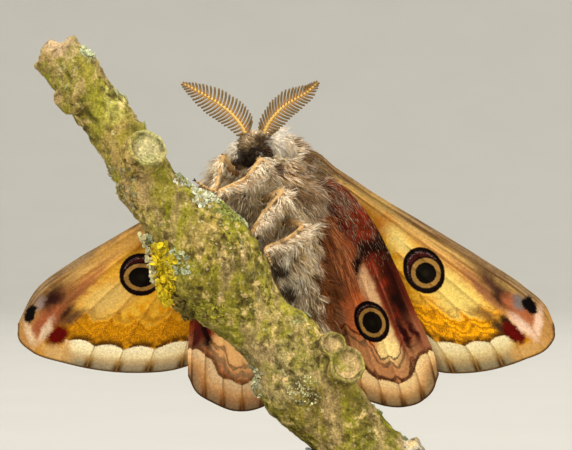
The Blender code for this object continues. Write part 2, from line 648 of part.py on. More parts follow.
base = block("stand_base", (-BASE_LENGTH / 2, -BASE_WIDTH / 2, 0), (BASE_LENGTH / 2, BASE_WIDTH / 2, BASE_HEIGHT))
shape = bmesh.new()
shape.from_mesh(base.data)
upright = [edge for edge in shape.edges if abs((edge.verts[0].co - edge.verts[1].co).z) > MM]
bmesh.ops.bevel(shape, geom=upright, offset=BASE_CORNER * MM, segments=6, profile=0.5, affect="EDGES")
shape.to_mesh(base.data)
shape.free()
node("stand_base", [base], [], LOOKS["stand"]).location.x = -CENTRING * MM
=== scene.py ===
import math

import bmesh
import bpy
import numpy as np
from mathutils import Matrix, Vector


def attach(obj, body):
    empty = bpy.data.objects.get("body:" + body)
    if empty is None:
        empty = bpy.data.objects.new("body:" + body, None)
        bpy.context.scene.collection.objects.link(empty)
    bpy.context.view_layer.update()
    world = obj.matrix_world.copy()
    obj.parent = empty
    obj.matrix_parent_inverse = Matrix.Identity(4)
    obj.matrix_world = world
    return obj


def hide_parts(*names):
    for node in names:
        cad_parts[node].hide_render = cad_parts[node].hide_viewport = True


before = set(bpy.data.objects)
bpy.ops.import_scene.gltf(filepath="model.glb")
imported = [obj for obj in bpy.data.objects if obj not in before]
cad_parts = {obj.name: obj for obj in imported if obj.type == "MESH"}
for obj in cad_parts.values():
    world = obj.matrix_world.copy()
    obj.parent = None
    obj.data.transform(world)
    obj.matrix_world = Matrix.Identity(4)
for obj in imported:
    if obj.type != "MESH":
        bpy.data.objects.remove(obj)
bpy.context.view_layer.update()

# A male emperor moth on a short cut twig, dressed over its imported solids. Sizes are in millimetres here
# and turn into metres where a mesh is filled. The moth shows its underside to the front, head up.
mm = 0.001
eyePoint = np.array([0.0, -350.0, 32.5])   # the camera stands here, apart from the centring
centring = np.array([0.4, 0.0, 0.0])       # how far moth and twig are moved in X
photoSize = (572, 450)
pixel = 0.1                                # size of one pixel of the photo at depth 0
frameFoot = 10.0                           # height of the photo's lower edge at depth 0


# shapes

def unit(vectors):
    # each row divided by its length
    return vectors / np.maximum(np.linalg.norm(vectors, axis=-1, keepdims=True), 1e-9)


def soft(value, low, high):
    # smooth step from 0 at low to 1 at high
    t = np.clip((value - low) / (high - low), 0, 1)
    return t * t * (3 - 2 * t)


def atPhoto(x, y, depth=None):
    # a place in the photo's frame as width and height at depth 0, with a depth if one is given
    flat = ((x - photoSize[0] / 2) * pixel, frameFoot + (photoSize[1] - y) * pixel)
    return (*flat, 0.0) if depth is None else (flat[0], depth, flat[1])


def sightOf(points):
    # slides points along the line of sight from their apparent place at depth 0 to their own depth
    points = np.array(points, float)
    reach = (points[..., 1:2] - eyePoint[1]) / -eyePoint[1]
    flat = points.copy()
    flat[..., 1] = 0.0
    return eyePoint + (flat - eyePoint) * reach


def lengthsAlong(points):
    # the way from the first point to each of them
    steps = np.linalg.norm(np.diff(points, axis=0), axis=1)
    return np.concatenate([[0.0], np.cumsum(steps)])


def pathThrough(points, places):
    # cubic curve through the points, read at shares of its length; slopes come from the neighbours
    points = np.array(points, float)
    knots = lengthsAlong(points)
    slopes = np.gradient(points, knots, axis=0)
    where = np.clip(np.asarray(places, float), 0, 1) * knots[-1]
    i = np.clip(np.searchsorted(knots, where, side="right") - 1, 0, len(knots) - 2)
    span = (knots[i + 1] - knots[i])[..., None]
    t = (where - knots[i])[..., None] / span
    return (points[i] * (2 * t**3 - 3 * t**2 + 1) + slopes[i] * span * (t**3 - 2 * t**2 + t)
            + points[i + 1] * (3 * t**2 - 2 * t**3) + slopes[i + 1] * span * (t**3 - t**2))


def valueAlong(values, points, places):
    # values given at points, read at shares of the way through them
    knots = lengthsAlong(np.array(points, float))
    return np.interp(places, knots / knots[-1], values)


def lump(points, size, seed=0):
    # random heights on a cubic lattice of that size, blended by smooth steps, from -1 to 1
    place = np.asarray(points, float) / size + seed * 17.31
    cell = np.floor(place).astype(np.int64)
    part = place - cell
    part = part * part * (3 - 2 * part)
    total = np.zeros(place.shape[:-1])
    for corner in range(8):
        shift = np.array([(corner >> k) & 1 for k in range(3)])
        key = ((cell + shift) * np.array([73856093, 19349663, 83492791])).sum(-1)
        key = ((key ^ (key >> 13)) * 1274126177) & 0x7FFFFFFF
        height = ((key ^ (key >> 15)) & 0xFFFF) / 32767.5 - 1
        total += height * np.prod(np.where(shift, part, 1 - part), axis=-1)
    return total


def mixed(low, high, share):
    # from low at share 0 to high at share 1
    return low * (1 - share) + high * share


def readAlong(where, knots, rows):
    # rows of numbers given at knots, read in a straight line between them
    return np.stack([np.interp(where, knots, column) for column in np.array(rows).T], -1)


def leanTurn(degrees):
    # a turn about Y, for rows of points
    swing = math.radians(degrees)
    return np.array([[math.cos(swing), 0, math.sin(swing)], [0, 1, 0], [-math.sin(swing), 0, math.cos(swing)]])


def fan(middle, first, sides, back=False):
    # triangles from one point to each step round a ring, the other way round if back
    k = np.arange(sides)
    rows = np.stack([np.full(sides, middle), first + k, first + (k + 1) % sides], 1)
    return rows[:, [0, 2, 1]] if back else rows


def repeated(points, quads, tris):
    # the same faces for each row of points
    start = (np.arange(len(points)) * points.shape[1])[:, None, None]
    return points.reshape(-1, 3), (quads[None] + start).reshape(-1, 4), (tris[None] + start).reshape(-1, 3)


def joined(shapes):
    # several shapes as one: points are stacked and the faces' numbers moved on
    points, quads, tris, start = [], [], [], 0
    for p, q, t in shapes:
        points.append(p)
        quads.append(np.asarray(q, int).reshape(-1, 4) + start)
        tris.append(np.asarray(t, int).reshape(-1, 3) + start)
        start += len(p)
    return np.concatenate(points), np.concatenate(quads), np.concatenate(tris)


def ballShape(centre, half, lean=0.0, rings=24, sides=36):
    # ellipsoid: latitude and longitude on a grid, a single point at each pole
    up = np.linspace(0, math.pi, rings + 1)[1:-1, None]
    turn = np.linspace(0, math.tau, sides, endpoint=False)[None]
    body = np.stack([np.sin(up) * np.cos(turn), np.sin(up) * np.sin(turn), np.cos(up) + 0 * turn], -1)
    points = np.concatenate([body.reshape(-1, 3), [[0, 0, 1], [0, 0, -1]]]) * half
    tris = np.concatenate([fan(len(points) - 2, 0, sides),
                           fan(len(points) - 1, (rings - 2) * sides, sides, True)])
    return points @ leanTurn(lean) + centre, gridFaces(rings - 1, sides, around=True)[:, ::-1], tris


def gridFaces(rows, columns, around=False):
    # four-sided faces of a grid of points, closed across the columns if it goes round
    r = np.arange(rows - 1)[:, None] * columns
    c = np.arange(columns if around else columns - 1)[None]
    nextC = (c + 1) % columns
    return np.stack([r + c, r + nextC, r + columns + nextC, r + columns + c], -1).reshape(-1, 4)


def framesAlong(path):
    # tangents, and two directions across them that are carried on without twist
    onward = unit(np.gradient(path, axis=0))
    side = np.cross(onward[0], (0.1, 1.0, 0.2))
    sides = []
    for ahead in onward:
        side = unit(side - np.dot(side, ahead) * ahead)
        sides.append(side)
    sides = np.array(sides)
    return onward, sides, np.cross(onward, sides)


def tubeShape(path, radii, sides=16, flatten=1.0):
    # rings round a path, each end closed with a fan about its middle; flatten squeezes it in Y
    onward, across, back = framesAlong(path)
    turn = np.linspace(0, math.tau, sides, endpoint=False)[None, :, None]
    rings = np.cos(turn) * across[:, None] + np.sin(turn) * back[:, None]
    rings *= np.asarray(radii, float)[:, None, None]
    rings[..., 1] *= flatten
    points = np.concatenate([(path[:, None] + rings).reshape(-1, 3), path[:1], path[-1:]])
    tris = np.concatenate([fan(len(points) - 2, 0, sides, True),
                           fan(len(points) - 1, (len(path) - 1) * sides, sides)])
    return points, gridFaces(len(path), sides, around=True), tris


def rodShapes(spines, wides, thicks, flats, sides=3):
    # many thin rods at once: a ring of points about each place on each spine, pointed at the tip.
    # spines is (rods, places, 3), wides and thicks are (rods, places), flats the side's direction.
    rods, places = spines.shape[:2]
    onward = unit(np.gradient(spines, axis=1))
    across = unit(flats[:, None] - (flats[:, None] * onward).sum(-1, keepdims=True) * onward)
    back = np.cross(across, onward)
    turn = (np.arange(sides) / sides * math.tau)[None, None, :, None]
    body = spines[:, :-1, None] + (np.cos(turn) * across[:, :-1, None] * wides[:, :-1, None, None]
                                   + np.sin(turn) * back[:, :-1, None] * thicks[:, :-1, None, None])
    points = np.concatenate([body.reshape(rods, -1, 3), spines[:, -1:]], 1)
    k = np.arange(sides)
    quads = gridFaces(places - 1, sides, around=True)[:, ::-1]
    foot = np.stack([np.zeros(sides - 2, int), k[1:-1], k[2:]], 1)
    tris = np.concatenate([fan(points.shape[1] - 1, (places - 2) * sides, sides, True), foot])
    shares = np.concatenate([np.repeat(np.linspace(0, 1, places)[:-1], sides), [1.0]])
    corners = np.concatenate([np.tile(k / sides, places - 1), [0.5]])
    return repeated(points, quads, tris), shares, corners


def writeField(mesh, title, values):
    # a number, vector or colour for each point, kept in the mesh under its name
    values = np.asarray(values, np.float32)
    width = 1 if values.ndim == 1 else values.shape[1]
    kind, key = {1: ("FLOAT", "value"), 3: ("FLOAT_VECTOR", "vector"), 4: ("FLOAT_COLOR", "color")}[width]
    mesh.attributes.new(title, kind, "POINT").data.foreach_set(key, values.ravel())


def fullColour(colour):
    # colours with a fourth part of 1
    return np.concatenate([colour, np.ones((*colour.shape[:-1], 1))], -1)


def placePoints(mesh, points):
    # millimetres about the moth's own middle turn into metres in the frame
    mesh.vertices.foreach_set("co", ((points + centring) * mm).astype(np.float32).ravel())


def fillMesh(name, shape, uvMaps=None, fields=None):
    # points, four-sided and three-sided faces put into a new smooth mesh, with its maps and fields
    points, quads, tris = shape
    mesh = bpy.data.meshes.new(name)
    loops = np.concatenate([quads.ravel(), tris.ravel()])
    starts = np.concatenate([np.arange(len(quads)) * 4, len(quads) * 4 + np.arange(len(tris)) * 3])
    mesh.vertices.add(len(points))
    mesh.loops.add(len(loops))
    mesh.polygons.add(len(starts))
    placePoints(mesh, points)
    mesh.loops.foreach_set("vertex_index", loops.astype(np.int32))
    mesh.polygons.foreach_set("loop_start", starts.astype(np.int32))
    mesh.polygons.foreach_set("use_smooth", np.ones(len(starts), bool))
    for title, values in (uvMaps or {}).items():
        layer = mesh.uv_layers.new(name=title)
        layer.data.foreach_set("uv", np.asarray(values, np.float32)[loops].ravel())
    for title, values in (fields or {}).items():
        writeField(mesh, title, values)
    mesh.update(calc_edges=True)
    return mesh


def newObject(name, data):
    # an object linked to the scene, left at the origin
    made = bpy.data.objects.new(name, data)
    bpy.context.scene.collection.objects.link(made)
    return made


def piece(name, mesh, finish, hides=()):
    # a finished object that rides on the still body and stands in for the solids it hides
    made = newObject(name, mesh)
    mesh.materials.clear()
    mesh.materials.append(finish)
    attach(made, "root")
    if hides:
        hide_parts(*hides)
    print(name, len(mesh.polygons), "faces")


def remeshed(name, shape, voxel, smoothing):
    # closed shells melted into one skin: voxel remesh, then a smoothing pass
    holder = newObject(name, fillMesh(name, shape))
    melt = holder.modifiers.new("melt", "REMESH")
    melt.mode, melt.voxel_size, melt.use_smooth_shade = "VOXEL", voxel * mm, True
    ease = holder.modifiers.new("ease", "SMOOTH")
    ease.factor, ease.iterations = 0.5, smoothing
    bpy.context.view_layer.update()
    mesh = bpy.data.meshes.new_from_object(holder.evaluated_get(bpy.context.evaluated_depsgraph_get()))
    bpy.data.objects.remove(holder)
    mesh.name = name
    return mesh


def readMesh(mesh):
    # points in millimetres about the moth's own middle, and their normals
    points = np.empty(len(mesh.vertices) * 3, np.float32)
    normals = np.empty(len(mesh.vertices) * 3, np.float32)
    mesh.vertices.foreach_get("co", points)
    mesh.vertices.foreach_get("normal", normals)
    return points.reshape(-1, 3) / mm - centring, normals.reshape(-1, 3).astype(float)


# shader helpers

held = 0.8   # what a tone keeps of its light, so that the lamps don't burn it out


def tone(red, green, blue):
    # a colour as seen on a screen, made linear and held below the lamps' full white
    return np.array([held * (((part + 0.055) / 1.055) ** 2.4 if part > 0.04 else part / 12.92)
                     for part in (red, green, blue)])


def rgba(colour):
    # a tone with a fourth part of 1, as a colour socket takes it
    return (*colour, 1.0)


def treeOf(values):
    # the node tree of the first socket among the values
    return next(value.id_data for value in values if isinstance(value, bpy.types.NodeSocket))


def add(tree, kind, wires=None, **settings):
    # a node with its settings; each input is wired to a socket or set to a value
    made = tree.nodes.new(kind)
    for key, value in settings.items():
        setattr(made, key, value)
    for key, value in (wires or {}).items():
        if isinstance(value, bpy.types.NodeSocket):
            tree.links.new(value, made.inputs[key])
        else:
            made.inputs[key].default_value = value
    return made


def sums(operation, *values):
    # one step of arithmetic on sockets and numbers, in the tree that the sockets are in
    return add(treeOf(values), "ShaderNodeMath", dict(enumerate(values)), operation=operation).outputs[0]


def times(first, second):
    # the product of two numbers
    return sums("MULTIPLY", first, second)


def plus(first, second):
    # their sum
    return sums("ADD", first, second)


def minus(first, second):
    # the first less the second
    return sums("SUBTRACT", first, second)


def vectors(operation, *values, **more):
    # the same for vectors; lengths and dot products come out as numbers
    made = add(treeOf(values), "ShaderNodeVectorMath", {**dict(enumerate(values)), **more}, operation=operation)
    return made.outputs["Value" if operation in ("LENGTH", "DOT_PRODUCT") else "Vector"]


def step(value, low, high, start=0.0, end=1.0):
    # smooth step from start where the value is low to end where it is high
    return add(value.id_data, "ShaderNodeMapRange",
               {"Value": value, "From Min": low, "From Max": high, "To Min": start, "To Max": end},
               interpolation_type="SMOOTHSTEP").outputs[0]


def lay(mask, under, over, mode="MIX"):
    # a colour laid over another by a mask
    under, over = (rgba(shade) if isinstance(shade, np.ndarray) else shade for shade in (under, over))
    return add(treeOf((mask, under, over)), "ShaderNodeMix", {0: mask, 6: under, 7: over},
               data_type="RGBA", blend_type=mode).outputs[2]


def shaded(colour, shade):
    # a colour times a number
    grey = add(shade.id_data, "ShaderNodeCombineXYZ", {0: shade, 1: shade, 2: shade}).outputs[0]
    return lay(1.0, colour, grey, "MULTIPLY")


def clouds(place, scale, detail=2.0, rough=0.5):
    # soft noise: a number and a colour at each place
    return add(place.id_data, "ShaderNodeTexNoise",
               {"Vector": place, "Scale": scale, "Detail": detail, "Roughness": rough}).outputs


def swayed(value, cloud, amount):
    # a number moved by a cloud, half of the amount each way
    return plus(value, times(minus(cloud, 0.5), amount))


def strayed(place, cloud, amount):
    # a place moved by a cloud's colour, half of the amount each way
    return vectors("ADD", place, vectors("SCALE", vectors("SUBTRACT", cloud, (0.5, 0.5, 0.5)), Scale=amount))


def ownPlace(tree):
    # the object's own coordinates, in metres
    return add(tree, "ShaderNodeTexCoord").outputs["Object"]


def ownField(tree, title, part):
    # what the mesh keeps under that name, as a number, a vector or a colour
    return add(tree, "ShaderNodeAttribute", attribute_name=title).outputs[part]


def group(name, inputs, outputs):
    # an empty node group, and the sockets inside it that bring its inputs and take its outputs
    made = bpy.data.node_groups.new(name, "ShaderNodeTree")
    for title, kind, value in inputs:
        socket = made.interface.new_socket(title, in_out="INPUT", socket_type=kind)
        if value is not None:
            socket.default_value = value
    for title, kind in outputs:
        made.interface.new_socket(title, in_out="OUTPUT", socket_type=kind)
    return made, made.nodes.new("NodeGroupInput").outputs, made.nodes.new("NodeGroupOutput").inputs


def use(shared, wires):
    # a shared node group placed with its own values
    return add(treeOf(wires.values()), "ShaderNodeGroup", wires, node_tree=shared).outputs


def newFinish(name, **settings):
    # a new material with numbers set on the sockets of its own shader
    made = bpy.data.materials.new(name)
    made.use_nodes = True
    shader = made.node_tree.nodes["Principled BSDF"]
    for title, value in settings.items():
        shader.inputs[title.replace("_", " ")].default_value = value
    return made, made.node_tree, shader


def paint(shader, colour, rough=None):
    # a colour, and a roughness if one is given, wired to the shader
    for title, socket in (("Base Color", colour), ("Roughness", rough)):
        if socket is not None:
            shader.id_data.links.new(socket, shader.inputs[title])


def relief(shader, height, strength, distance):
    # fine heights that only turn the normals
    bump = add(shader.id_data, "ShaderNodeBump", {"Height": height, "Strength": strength, "Distance": distance})
    shader.id_data.links.new(bump.outputs[0], shader.inputs["Normal"])


floatKind, vectorKind, colourKind = "NodeSocketFloat", "NodeSocketVector", "NodeSocketColor"


def reachFrom(given, centre, radius):
    # distance from a centre, in radii, on a plan that may be turned
    moved = vectors("SUBTRACT", given["Plan"], given[centre])
    turned = add(moved.id_data, "ShaderNodeVectorRotate", {"Vector": moved, "Angle": given["Turn"]},
                 rotation_type="Z_AXIS", invert=True).outputs[0]
    return vectors("LENGTH", vectors("DIVIDE", turned, given[radius]))


ovalInputs = [("Plan", vectorKind, None), ("Centre", vectorKind, (0, 0, 0)), ("Turn", floatKind, 0.0),
              ("Radius", vectorKind, (1, 1, 1))]


def makeBlot():
    # a soft oval mark: 1 in the middle, 0 outside
    tree, given, result = group("blot", [*ovalInputs, ("Edge", floatKind, 0.3)], [("Mask", floatKind)])
    inner, outer = minus(1.0, given["Edge"]), plus(1.0, given["Edge"])
    tree.links.new(step(reachFrom(given, "Centre", "Radius"), inner, outer, 1.0, 0.0), result["Mask"])
    return tree


# rings of an eyespot: between which reaches each sets in, in shares of its radius
ringForm = {"outer": (0.84, 0.70), "arc": ((0.71, 0.76), (0.85, 0.80)), "arcShare": 0.55, "dark": (1.16, 1.07),
            "tan": (1.03, 0.96), "pupilSoft": 0.06, "core": 0.55, "coreShare": 0.35, "rim": (1.03, 0.97)}


def makeEyespot():
    # rings by distance from two centres: dark outer ring with a wine arc and white dots, tan ring, pupil; the
    # pupil's lighter olive core is its window, lit from behind as painted light
    tree, given, result = group(
        "eyespot", [*ovalInputs, ("Ring centre", vectorKind, (0, 0, 0)), ("Ring radius", vectorKind, (1, 1, 1)),
                    ("Pupil", floatKind, 0.68), ("Dots", floatKind, 0.5)],
        [("Colour", colourKind), ("Mask", floatKind)])
    outer, ring = reachFrom(given, "Centre", "Radius"), reachFrom(given, "Ring centre", "Ring radius")
    colour = lay(step(outer, *ringForm["outer"]), tone(0.075, 0.03, 0.025), tone(0.25, 0.08, 0.07))
    arc = times(*(step(outer, *edge) for edge in ringForm["arc"]))
    dots = times(times(arc, given["Dots"]), ringForm["arcShare"])
    colour = lay(dots, colour, tone(0.72, 0.56, 0.54))
    colour = lay(step(ring, *ringForm["dark"]), colour, tone(0.09, 0.04, 0.03))
    colour = lay(step(ring, *ringForm["tan"]), colour, tone(0.66, 0.49, 0.24))
    pupilEdge = plus(given["Pupil"], ringForm["pupilSoft"])
    colour = lay(step(ring, pupilEdge, given["Pupil"]), colour, tone(0.07, 0.05, 0.03))
    # the pupil's core: a pale window, its lightness painted light through the wing
    core = times(given["Pupil"], ringForm["core"])
    colour = lay(times(step(ring, core, 0.0), ringForm["coreShare"]), colour, tone(0.20, 0.18, 0.10))
    tree.links.new(colour, result["Colour"])
    tree.links.new(step(outer, *ringForm["rim"]), result["Mask"])
    return tree


blot, eyespot = makeBlot(), makeEyespot()


# wings

forewingEdges = {
    "left": {
        "leading": [(0.9, 5.3, 38.8), (2.3, 5.4, 39.9), (5.2, 5.0, 38.1), (9.0, 4.1, 35.6), (13.0, 3.1, 33.2),
                    (19.4, 1.4, 29.3), (23.9, 0.3, 26.3), (26.0, -0.2, 24.4), (26.8, -0.4, 22.6)],
        "outer": [(26.8, -0.4, 22.6), (26.9, -0.3, 21.4), (26.2, 0.0, 20.2), (23.8, 0.5, 19.0),
                  (18.4, 1.6, 17.7), (15.3, 2.6, 17.8), (12.5, 3.8, 19.0)],
        "inner": [(1.6, 6.4, 35.0), (5.8, 6.6, 31.0), (8.8, 6.0, 26.0), (12.5, 3.8, 19.0)]},
    "right": {
        "leading": [(-4.6, 5.4, 38.2), (-6.2, 6.0, 37.8), (-8.5, 6.6, 36.5), (-14.6, 8.2, 32.8),
                    (-18.2, 9.1, 30.7), (-21.4, 9.9, 28.8), (-25.0, 10.8, 26.0), (-26.8, 11.3, 22.6)],
        "outer": [(-26.8, 11.3, 22.6), (-26.7, 11.2, 21.0), (-25.4, 10.9, 19.8), (-22.2, 10.1, 18.7),
                  (-15.0, 8.9, 17.7), (-11.2, 8.3, 18.0), (-8.1, 7.8, 19.0)],
        "inner": [(-4.0, 6.9, 34.5), (-5.6, 7.4, 30.5), (-6.8, 7.7, 25.5), (-8.1, 7.8, 19.0)]},
}
hindwingEdges = {
    "left": {
        "leading": [(1.5, 4.9, 35.4), (4.2, 4.3, 37.1), (6.1, 3.5, 36.0), (7.9, 3.1, 34.0), (10.8, 2.4, 28.8),
                    (13.0, 1.8, 23.7), (14.8, 1.2, 19.6), (15.3, 1.0, 17.6)],
        "outer": [(15.3, 1.0, 17.6), (14.6, 1.2, 15.8), (13.3, 1.7, 14.7), (11.9, 2.4, 14.3), (8.8, 4.0, 14.7),
                  (6.6, 5.2, 15.8), (5.2, 6.0, 17.6)],
        "inner": [(0.8, 5.8, 33.0), (2.0, 7.2, 30.4), (2.9, 7.7, 27.0), (3.9, 7.4, 22.6), (5.2, 6.0, 17.6)]},
    "right": {
        "leading": [(-4.4, 5.0, 34.8), (-6.0, 5.2, 33.6), (-8.0, 5.5, 29.5), (-9.3, 5.8, 25.0),
                    (-9.8, 5.9, 20.3), (-9.8, 6.0, 17.4)],
        "outer": [(-9.8, 6.0, 17.4), (-9.0, 6.1, 15.8), (-7.3, 6.4, 14.7), (-5.2, 6.8, 13.9), (-3.2, 7.1, 14.0),
                  (-1.2, 7.4, 15.0), (0.2, 7.6, 17.0)],
        "inner": [(-2.6, 6.6, 32.6), (-1.4, 7.9, 26.0), (0.0, 8.0, 21.5), (0.2, 7.6, 17.0)]},
}
wingForm = {"membrane": 0.20, "vein": 0.07, "veinWidth": 0.16, "pleat": 0.06,
            # the cell, where no vein runs: its sides, its end and how softly each begins
            "cell": (0.18, 0.70), "cellEnd": 0.42, "cellSoft": (0.06, 0.08, 0.04), "veinless": 2.0,
            "plainBase": 0.2,   # up to there the veins and sags grow from the root
            "rimSpan": 26, "rimShare": 0.35,
            "fore": {"rows": 136, "columns": 94, "veins": [0.045, 0.17, 0.30, 0.43, 0.57, 0.72, 0.88]},
            "hind": {"rows": 120, "columns": 92, "veins": [0.06, 0.22, 0.38, 0.54, 0.70, 0.87]}}


def nearestTo(points, line):
    # distance from each point to the nearest place on a finely cut line, in blocks to spare memory
    return np.concatenate([np.linalg.norm(part[:, None] - line[None], axis=-1).min(1)
                           for part in np.array_split(points, 24)])


def wingShape(edges, form):
    # a grid between the four edges, each inside point blended from them, thickened along its normal.
    # The membrane rises over each vein and sags a little between two of them.
    s, t = np.linspace(0, 1, form["rows"]), np.linspace(0, 1, form["columns"])
    leading, inner = pathThrough(edges["leading"], s)[:, None], pathThrough(edges["inner"], s)[:, None]
    outer = pathThrough(edges["outer"], t)[None]
    ss, tt = s[:, None, None], t[None, :, None]
    root = (1 - tt) * leading[0] + tt * inner[0]
    corners = (1 - ss) * root + ss * ((1 - tt) * leading[-1] + tt * inner[-1])
    flat = (1 - tt) * leading + tt * inner + (1 - ss) * root + ss * outer - corners
    middle = sightOf(flat)
    normal = unit(np.cross(np.gradient(middle, axis=0), np.gradient(middle, axis=1)))
    normal *= -np.sign(normal[..., 1:2].mean())          # towards the front
    veins = np.array([0.0, *form["veins"], 1.0])
    left = np.clip(np.searchsorted(veins, t, side="right") - 1, 0, len(veins) - 2)
    share = (t - veins[left]) / (veins[left + 1] - veins[left])
    between = np.sin(math.pi * share)[None] * np.ones((len(s), 1))
    width = np.linalg.norm(middle[:, -1] - middle[:, 0], axis=-1)[:, None]
    away = np.abs(t[:, None] - np.array(form["veins"])[None]).min(1)[None] * width
    start, stop, end = *wingForm["cell"], wingForm["cellEnd"]
    first, second, third = wingForm["cellSoft"]
    inCell = soft(t, start, start + first) * soft(t, stop, stop - second)
    inCell = inCell[None] * soft(s, end + third, end - third)[:, None]
    away = away + wingForm["veinless"] * inCell
    rise = (wingForm["vein"] * np.exp(-(away / wingForm["veinWidth"]) ** 2)
            - wingForm["pleat"] * (between - 0.5) * (1 - inCell))
    middle = middle + normal * (rise * soft(s, 0.0, wingForm["plainBase"])[:, None])[..., None]
    edge = wingForm["rimSpan"] * np.minimum(np.minimum(ss, 1 - ss), np.minimum(tt, 1 - tt))
    thick = wingForm["membrane"] / 2 * mixed(wingForm["rimShare"], 1.0, soft(edge, 0, 0.5))
    front, behind = middle + thick * normal, middle - thick * normal
    size = form["rows"] * form["columns"]
    faces = gridFaces(form["rows"], form["columns"])
    ab, ac = front[0, 1] - front[0, 0], front[1, 0] - front[0, 0]
    if np.dot(np.cross(ab, ac), normal[0, 0]) < 0:
        faces = faces[:, ::-1]
    index = np.arange(size).reshape(form["rows"], form["columns"])
    rim = np.concatenate([index[0, :], index[1:, -1], index[-1, -2::-1], index[-2:0:-1, 0]])
    onward = np.roll(rim, -1)
    band = np.stack([rim, onward, onward + size, rim + size], 1)
    first = faces[(faces == rim[0]).any(1) & (faces == rim[1]).any(1)][0].tolist()
    if first[(first.index(rim[0]) + 1) % 4] == rim[1]:
        band = band[:, ::-1]
    quads = np.concatenate([faces, faces[:, ::-1] + size, band])
    points = np.concatenate([front.reshape(-1, 3), behind.reshape(-1, 3)])
    plan = flat[..., [0, 2]].reshape(-1, 2)
    margin, lead = (nearestTo(plan, pathThrough(edges[edge], np.linspace(0, 1, 200))[:, [0, 2]])
                    for edge in ("outer", "leading"))
    reach = np.stack([margin, lead, between.ravel()], 1)
    lines = np.stack([np.repeat(s, len(t)), np.tile(t, len(s)), away.ravel()], 1)
    under = np.concatenate([np.ones(size), np.zeros(size)])
    uvMaps = {"plan": np.tile(plan, (2, 1))}
    fields = {"wingReach": np.tile(reach, (2, 1)), "wingLines": np.tile(lines, (2, 1)), "wingUnder": under}
    return (points, quads, np.zeros((0, 3), int)), uvMaps, fields, (middle, normal)


def wingGround(tree):
    # what every wing's colours start from: the plan, the named fields and a grain as of scales
    plan = add(tree, "ShaderNodeUVMap", uv_map="plan").outputs[0]
    reach, lines = (add(tree, "ShaderNodeSeparateXYZ", {0: ownField(tree, title, "Vector")}).outputs
                    for title in ("wingReach", "wingLines"))
    wide, fine = clouds(plan, 1.1, 3.0), clouds(plan, 7.5, 2.0, 0.6)
    rough = strayed(strayed(plan, fine["Color"], 0.5), wide["Color"], 0.9)
    scales = add(tree, "ShaderNodeTexVoronoi", {"Vector": plan, "Scale": 9.0, "Randomness": 1.0}).outputs
    return {"plan": plan, "rough": rough, "fringed": strayed(plan, clouds(plan, 6.0)["Color"], 0.16),
            "margin": reach[0], "lead": reach[1], "between": reach[2], "s": lines[0], "t": lines[1],
            "vein": lines[2], "under": ownField(tree, "wingUnder", "Fac"), "wide": wide[0], "fine": fine[0],
            "scales": scales["Distance"], "scaleTone": scales["Color"]}


def blotMask(g, x, y, long, short, turn, edge):
    # an oval mark named by its place in the photo, its half length and half width there, and its slant
    return use(blot, {"Plan": g["rough"], "Centre": atPhoto(x, y), "Turn": math.radians(turn),
                      "Radius": (long * pixel, short * pixel, 1.0), "Edge": edge})[0]


def marked(g, colour, marks):
    # the marks laid on a colour in turn
    for spec, shade in marks:
        colour = lay(blotMask(g, *spec), colour, tone(*shade))
    return colour


def ocellus(g, colour, mark):
    # the eyespot with its own places and sizes from the photo
    rings = use(eyespot, {
        "Plan": g["fringed"], "Centre": atPhoto(*mark["centre"]), "Turn": math.radians(mark["turn"]),
        "Radius": (mark["radius"][0] * pixel, mark["radius"][1] * pixel, 1.0),
        "Ring centre": atPhoto(*mark["ring"]), "Pupil": mark["pupil"],
        "Ring radius": (mark["ringRadius"][0] * pixel, mark["ringRadius"][1] * pixel, 1.0),
        "Dots": step(g["fine"], 0.50, 0.60)})
    return lay(rings["Mask"], colour, rings["Colour"])


def eachSide(g, underside, upperside):
    # one colour on the wing's underside and the other on its upperside
    return lay(g["under"], upperside, underside)


def streaksOf(g, along, across):
    # a cloud drawn out from base to margin
    shares = {0: times(g["s"], along), 1: times(g["t"], across)}
    return clouds(add(g["s"].id_data, "ShaderNodeCombineXYZ", shares).outputs[0], 1.0, 3.0, 0.6)[0]


def slantOf(place, start, normal):
    # how far a place lies past a straight line across the wing, given by a point and a normal
    return vectors("DOT_PRODUCT", vectors("SUBTRACT", place, atPhoto(*start)), normal)


def marginBand(g, colour, form):
    # pale band along the outer margin: its inner edge bows between the veins, veins cross it as thin
    # lines, and it darkens to the fringe
    bow = sums("MULTIPLY_ADD", g["between"], form["bow"], form["width"] - form["bow"])
    rough = swayed(minus(bow, g["margin"]), g["fine"], 0.35)
    dark = times(times(step(rough, -form["rim"], -0.1), 0.9), step(g["wide"], 0.30, 0.52))
    colour = lay(dark, colour, form["rimTone"])
    tones = add(bow.id_data, "ShaderNodeValToRGB", {0: step(g["margin"], 0.0, form["width"])})
    stops = tones.color_ramp.elements
    stops[1].position = form["stops"][1]
    for place in form["stops"][2:]:
        stops.new(place)
    for stop, shade in zip(stops, form["tones"]):
        stop.color = rgba(shade)
    pale = lay(times(step(g["between"], 0.15, 0.75), 0.25), tones.outputs[0], form["tones"][4])
    pale = lay(times(step(g["vein"], 0.13, 0.03), 0.55), pale, form["thread"])
    return lay(step(rough, 0.0, 0.12), colour, pale)


def wingFinish(name, colours, mark):
    # the wing's colours, a grain of scales and a soft mottle, and the veins' relief
    made, tree, shader = newFinish(name, Roughness=0.8, Specular_IOR_Level=0.04)
    g = wingGround(tree)
    grain = add(tree, "ShaderNodeSeparateXYZ", {0: g["scaleTone"]}).outputs[0]
    shade = step(plus(times(grain, 0.5), times(g["fine"], 0.5)), 0.15, 0.85, 0.83, 1.12)
    shade = times(shade, step(clouds(g["plan"], 3.4, 3.0, 0.6)[0], 0.36, 0.64, 0.90, 1.07))
    paint(shader, shaded(colours(g, mark), shade))
    relief(shader, plus(times(g["scales"], 0.5), times(step(g["vein"], 0.22, 0.0), 1.2)), 0.35, 0.05 * mm)
    return made


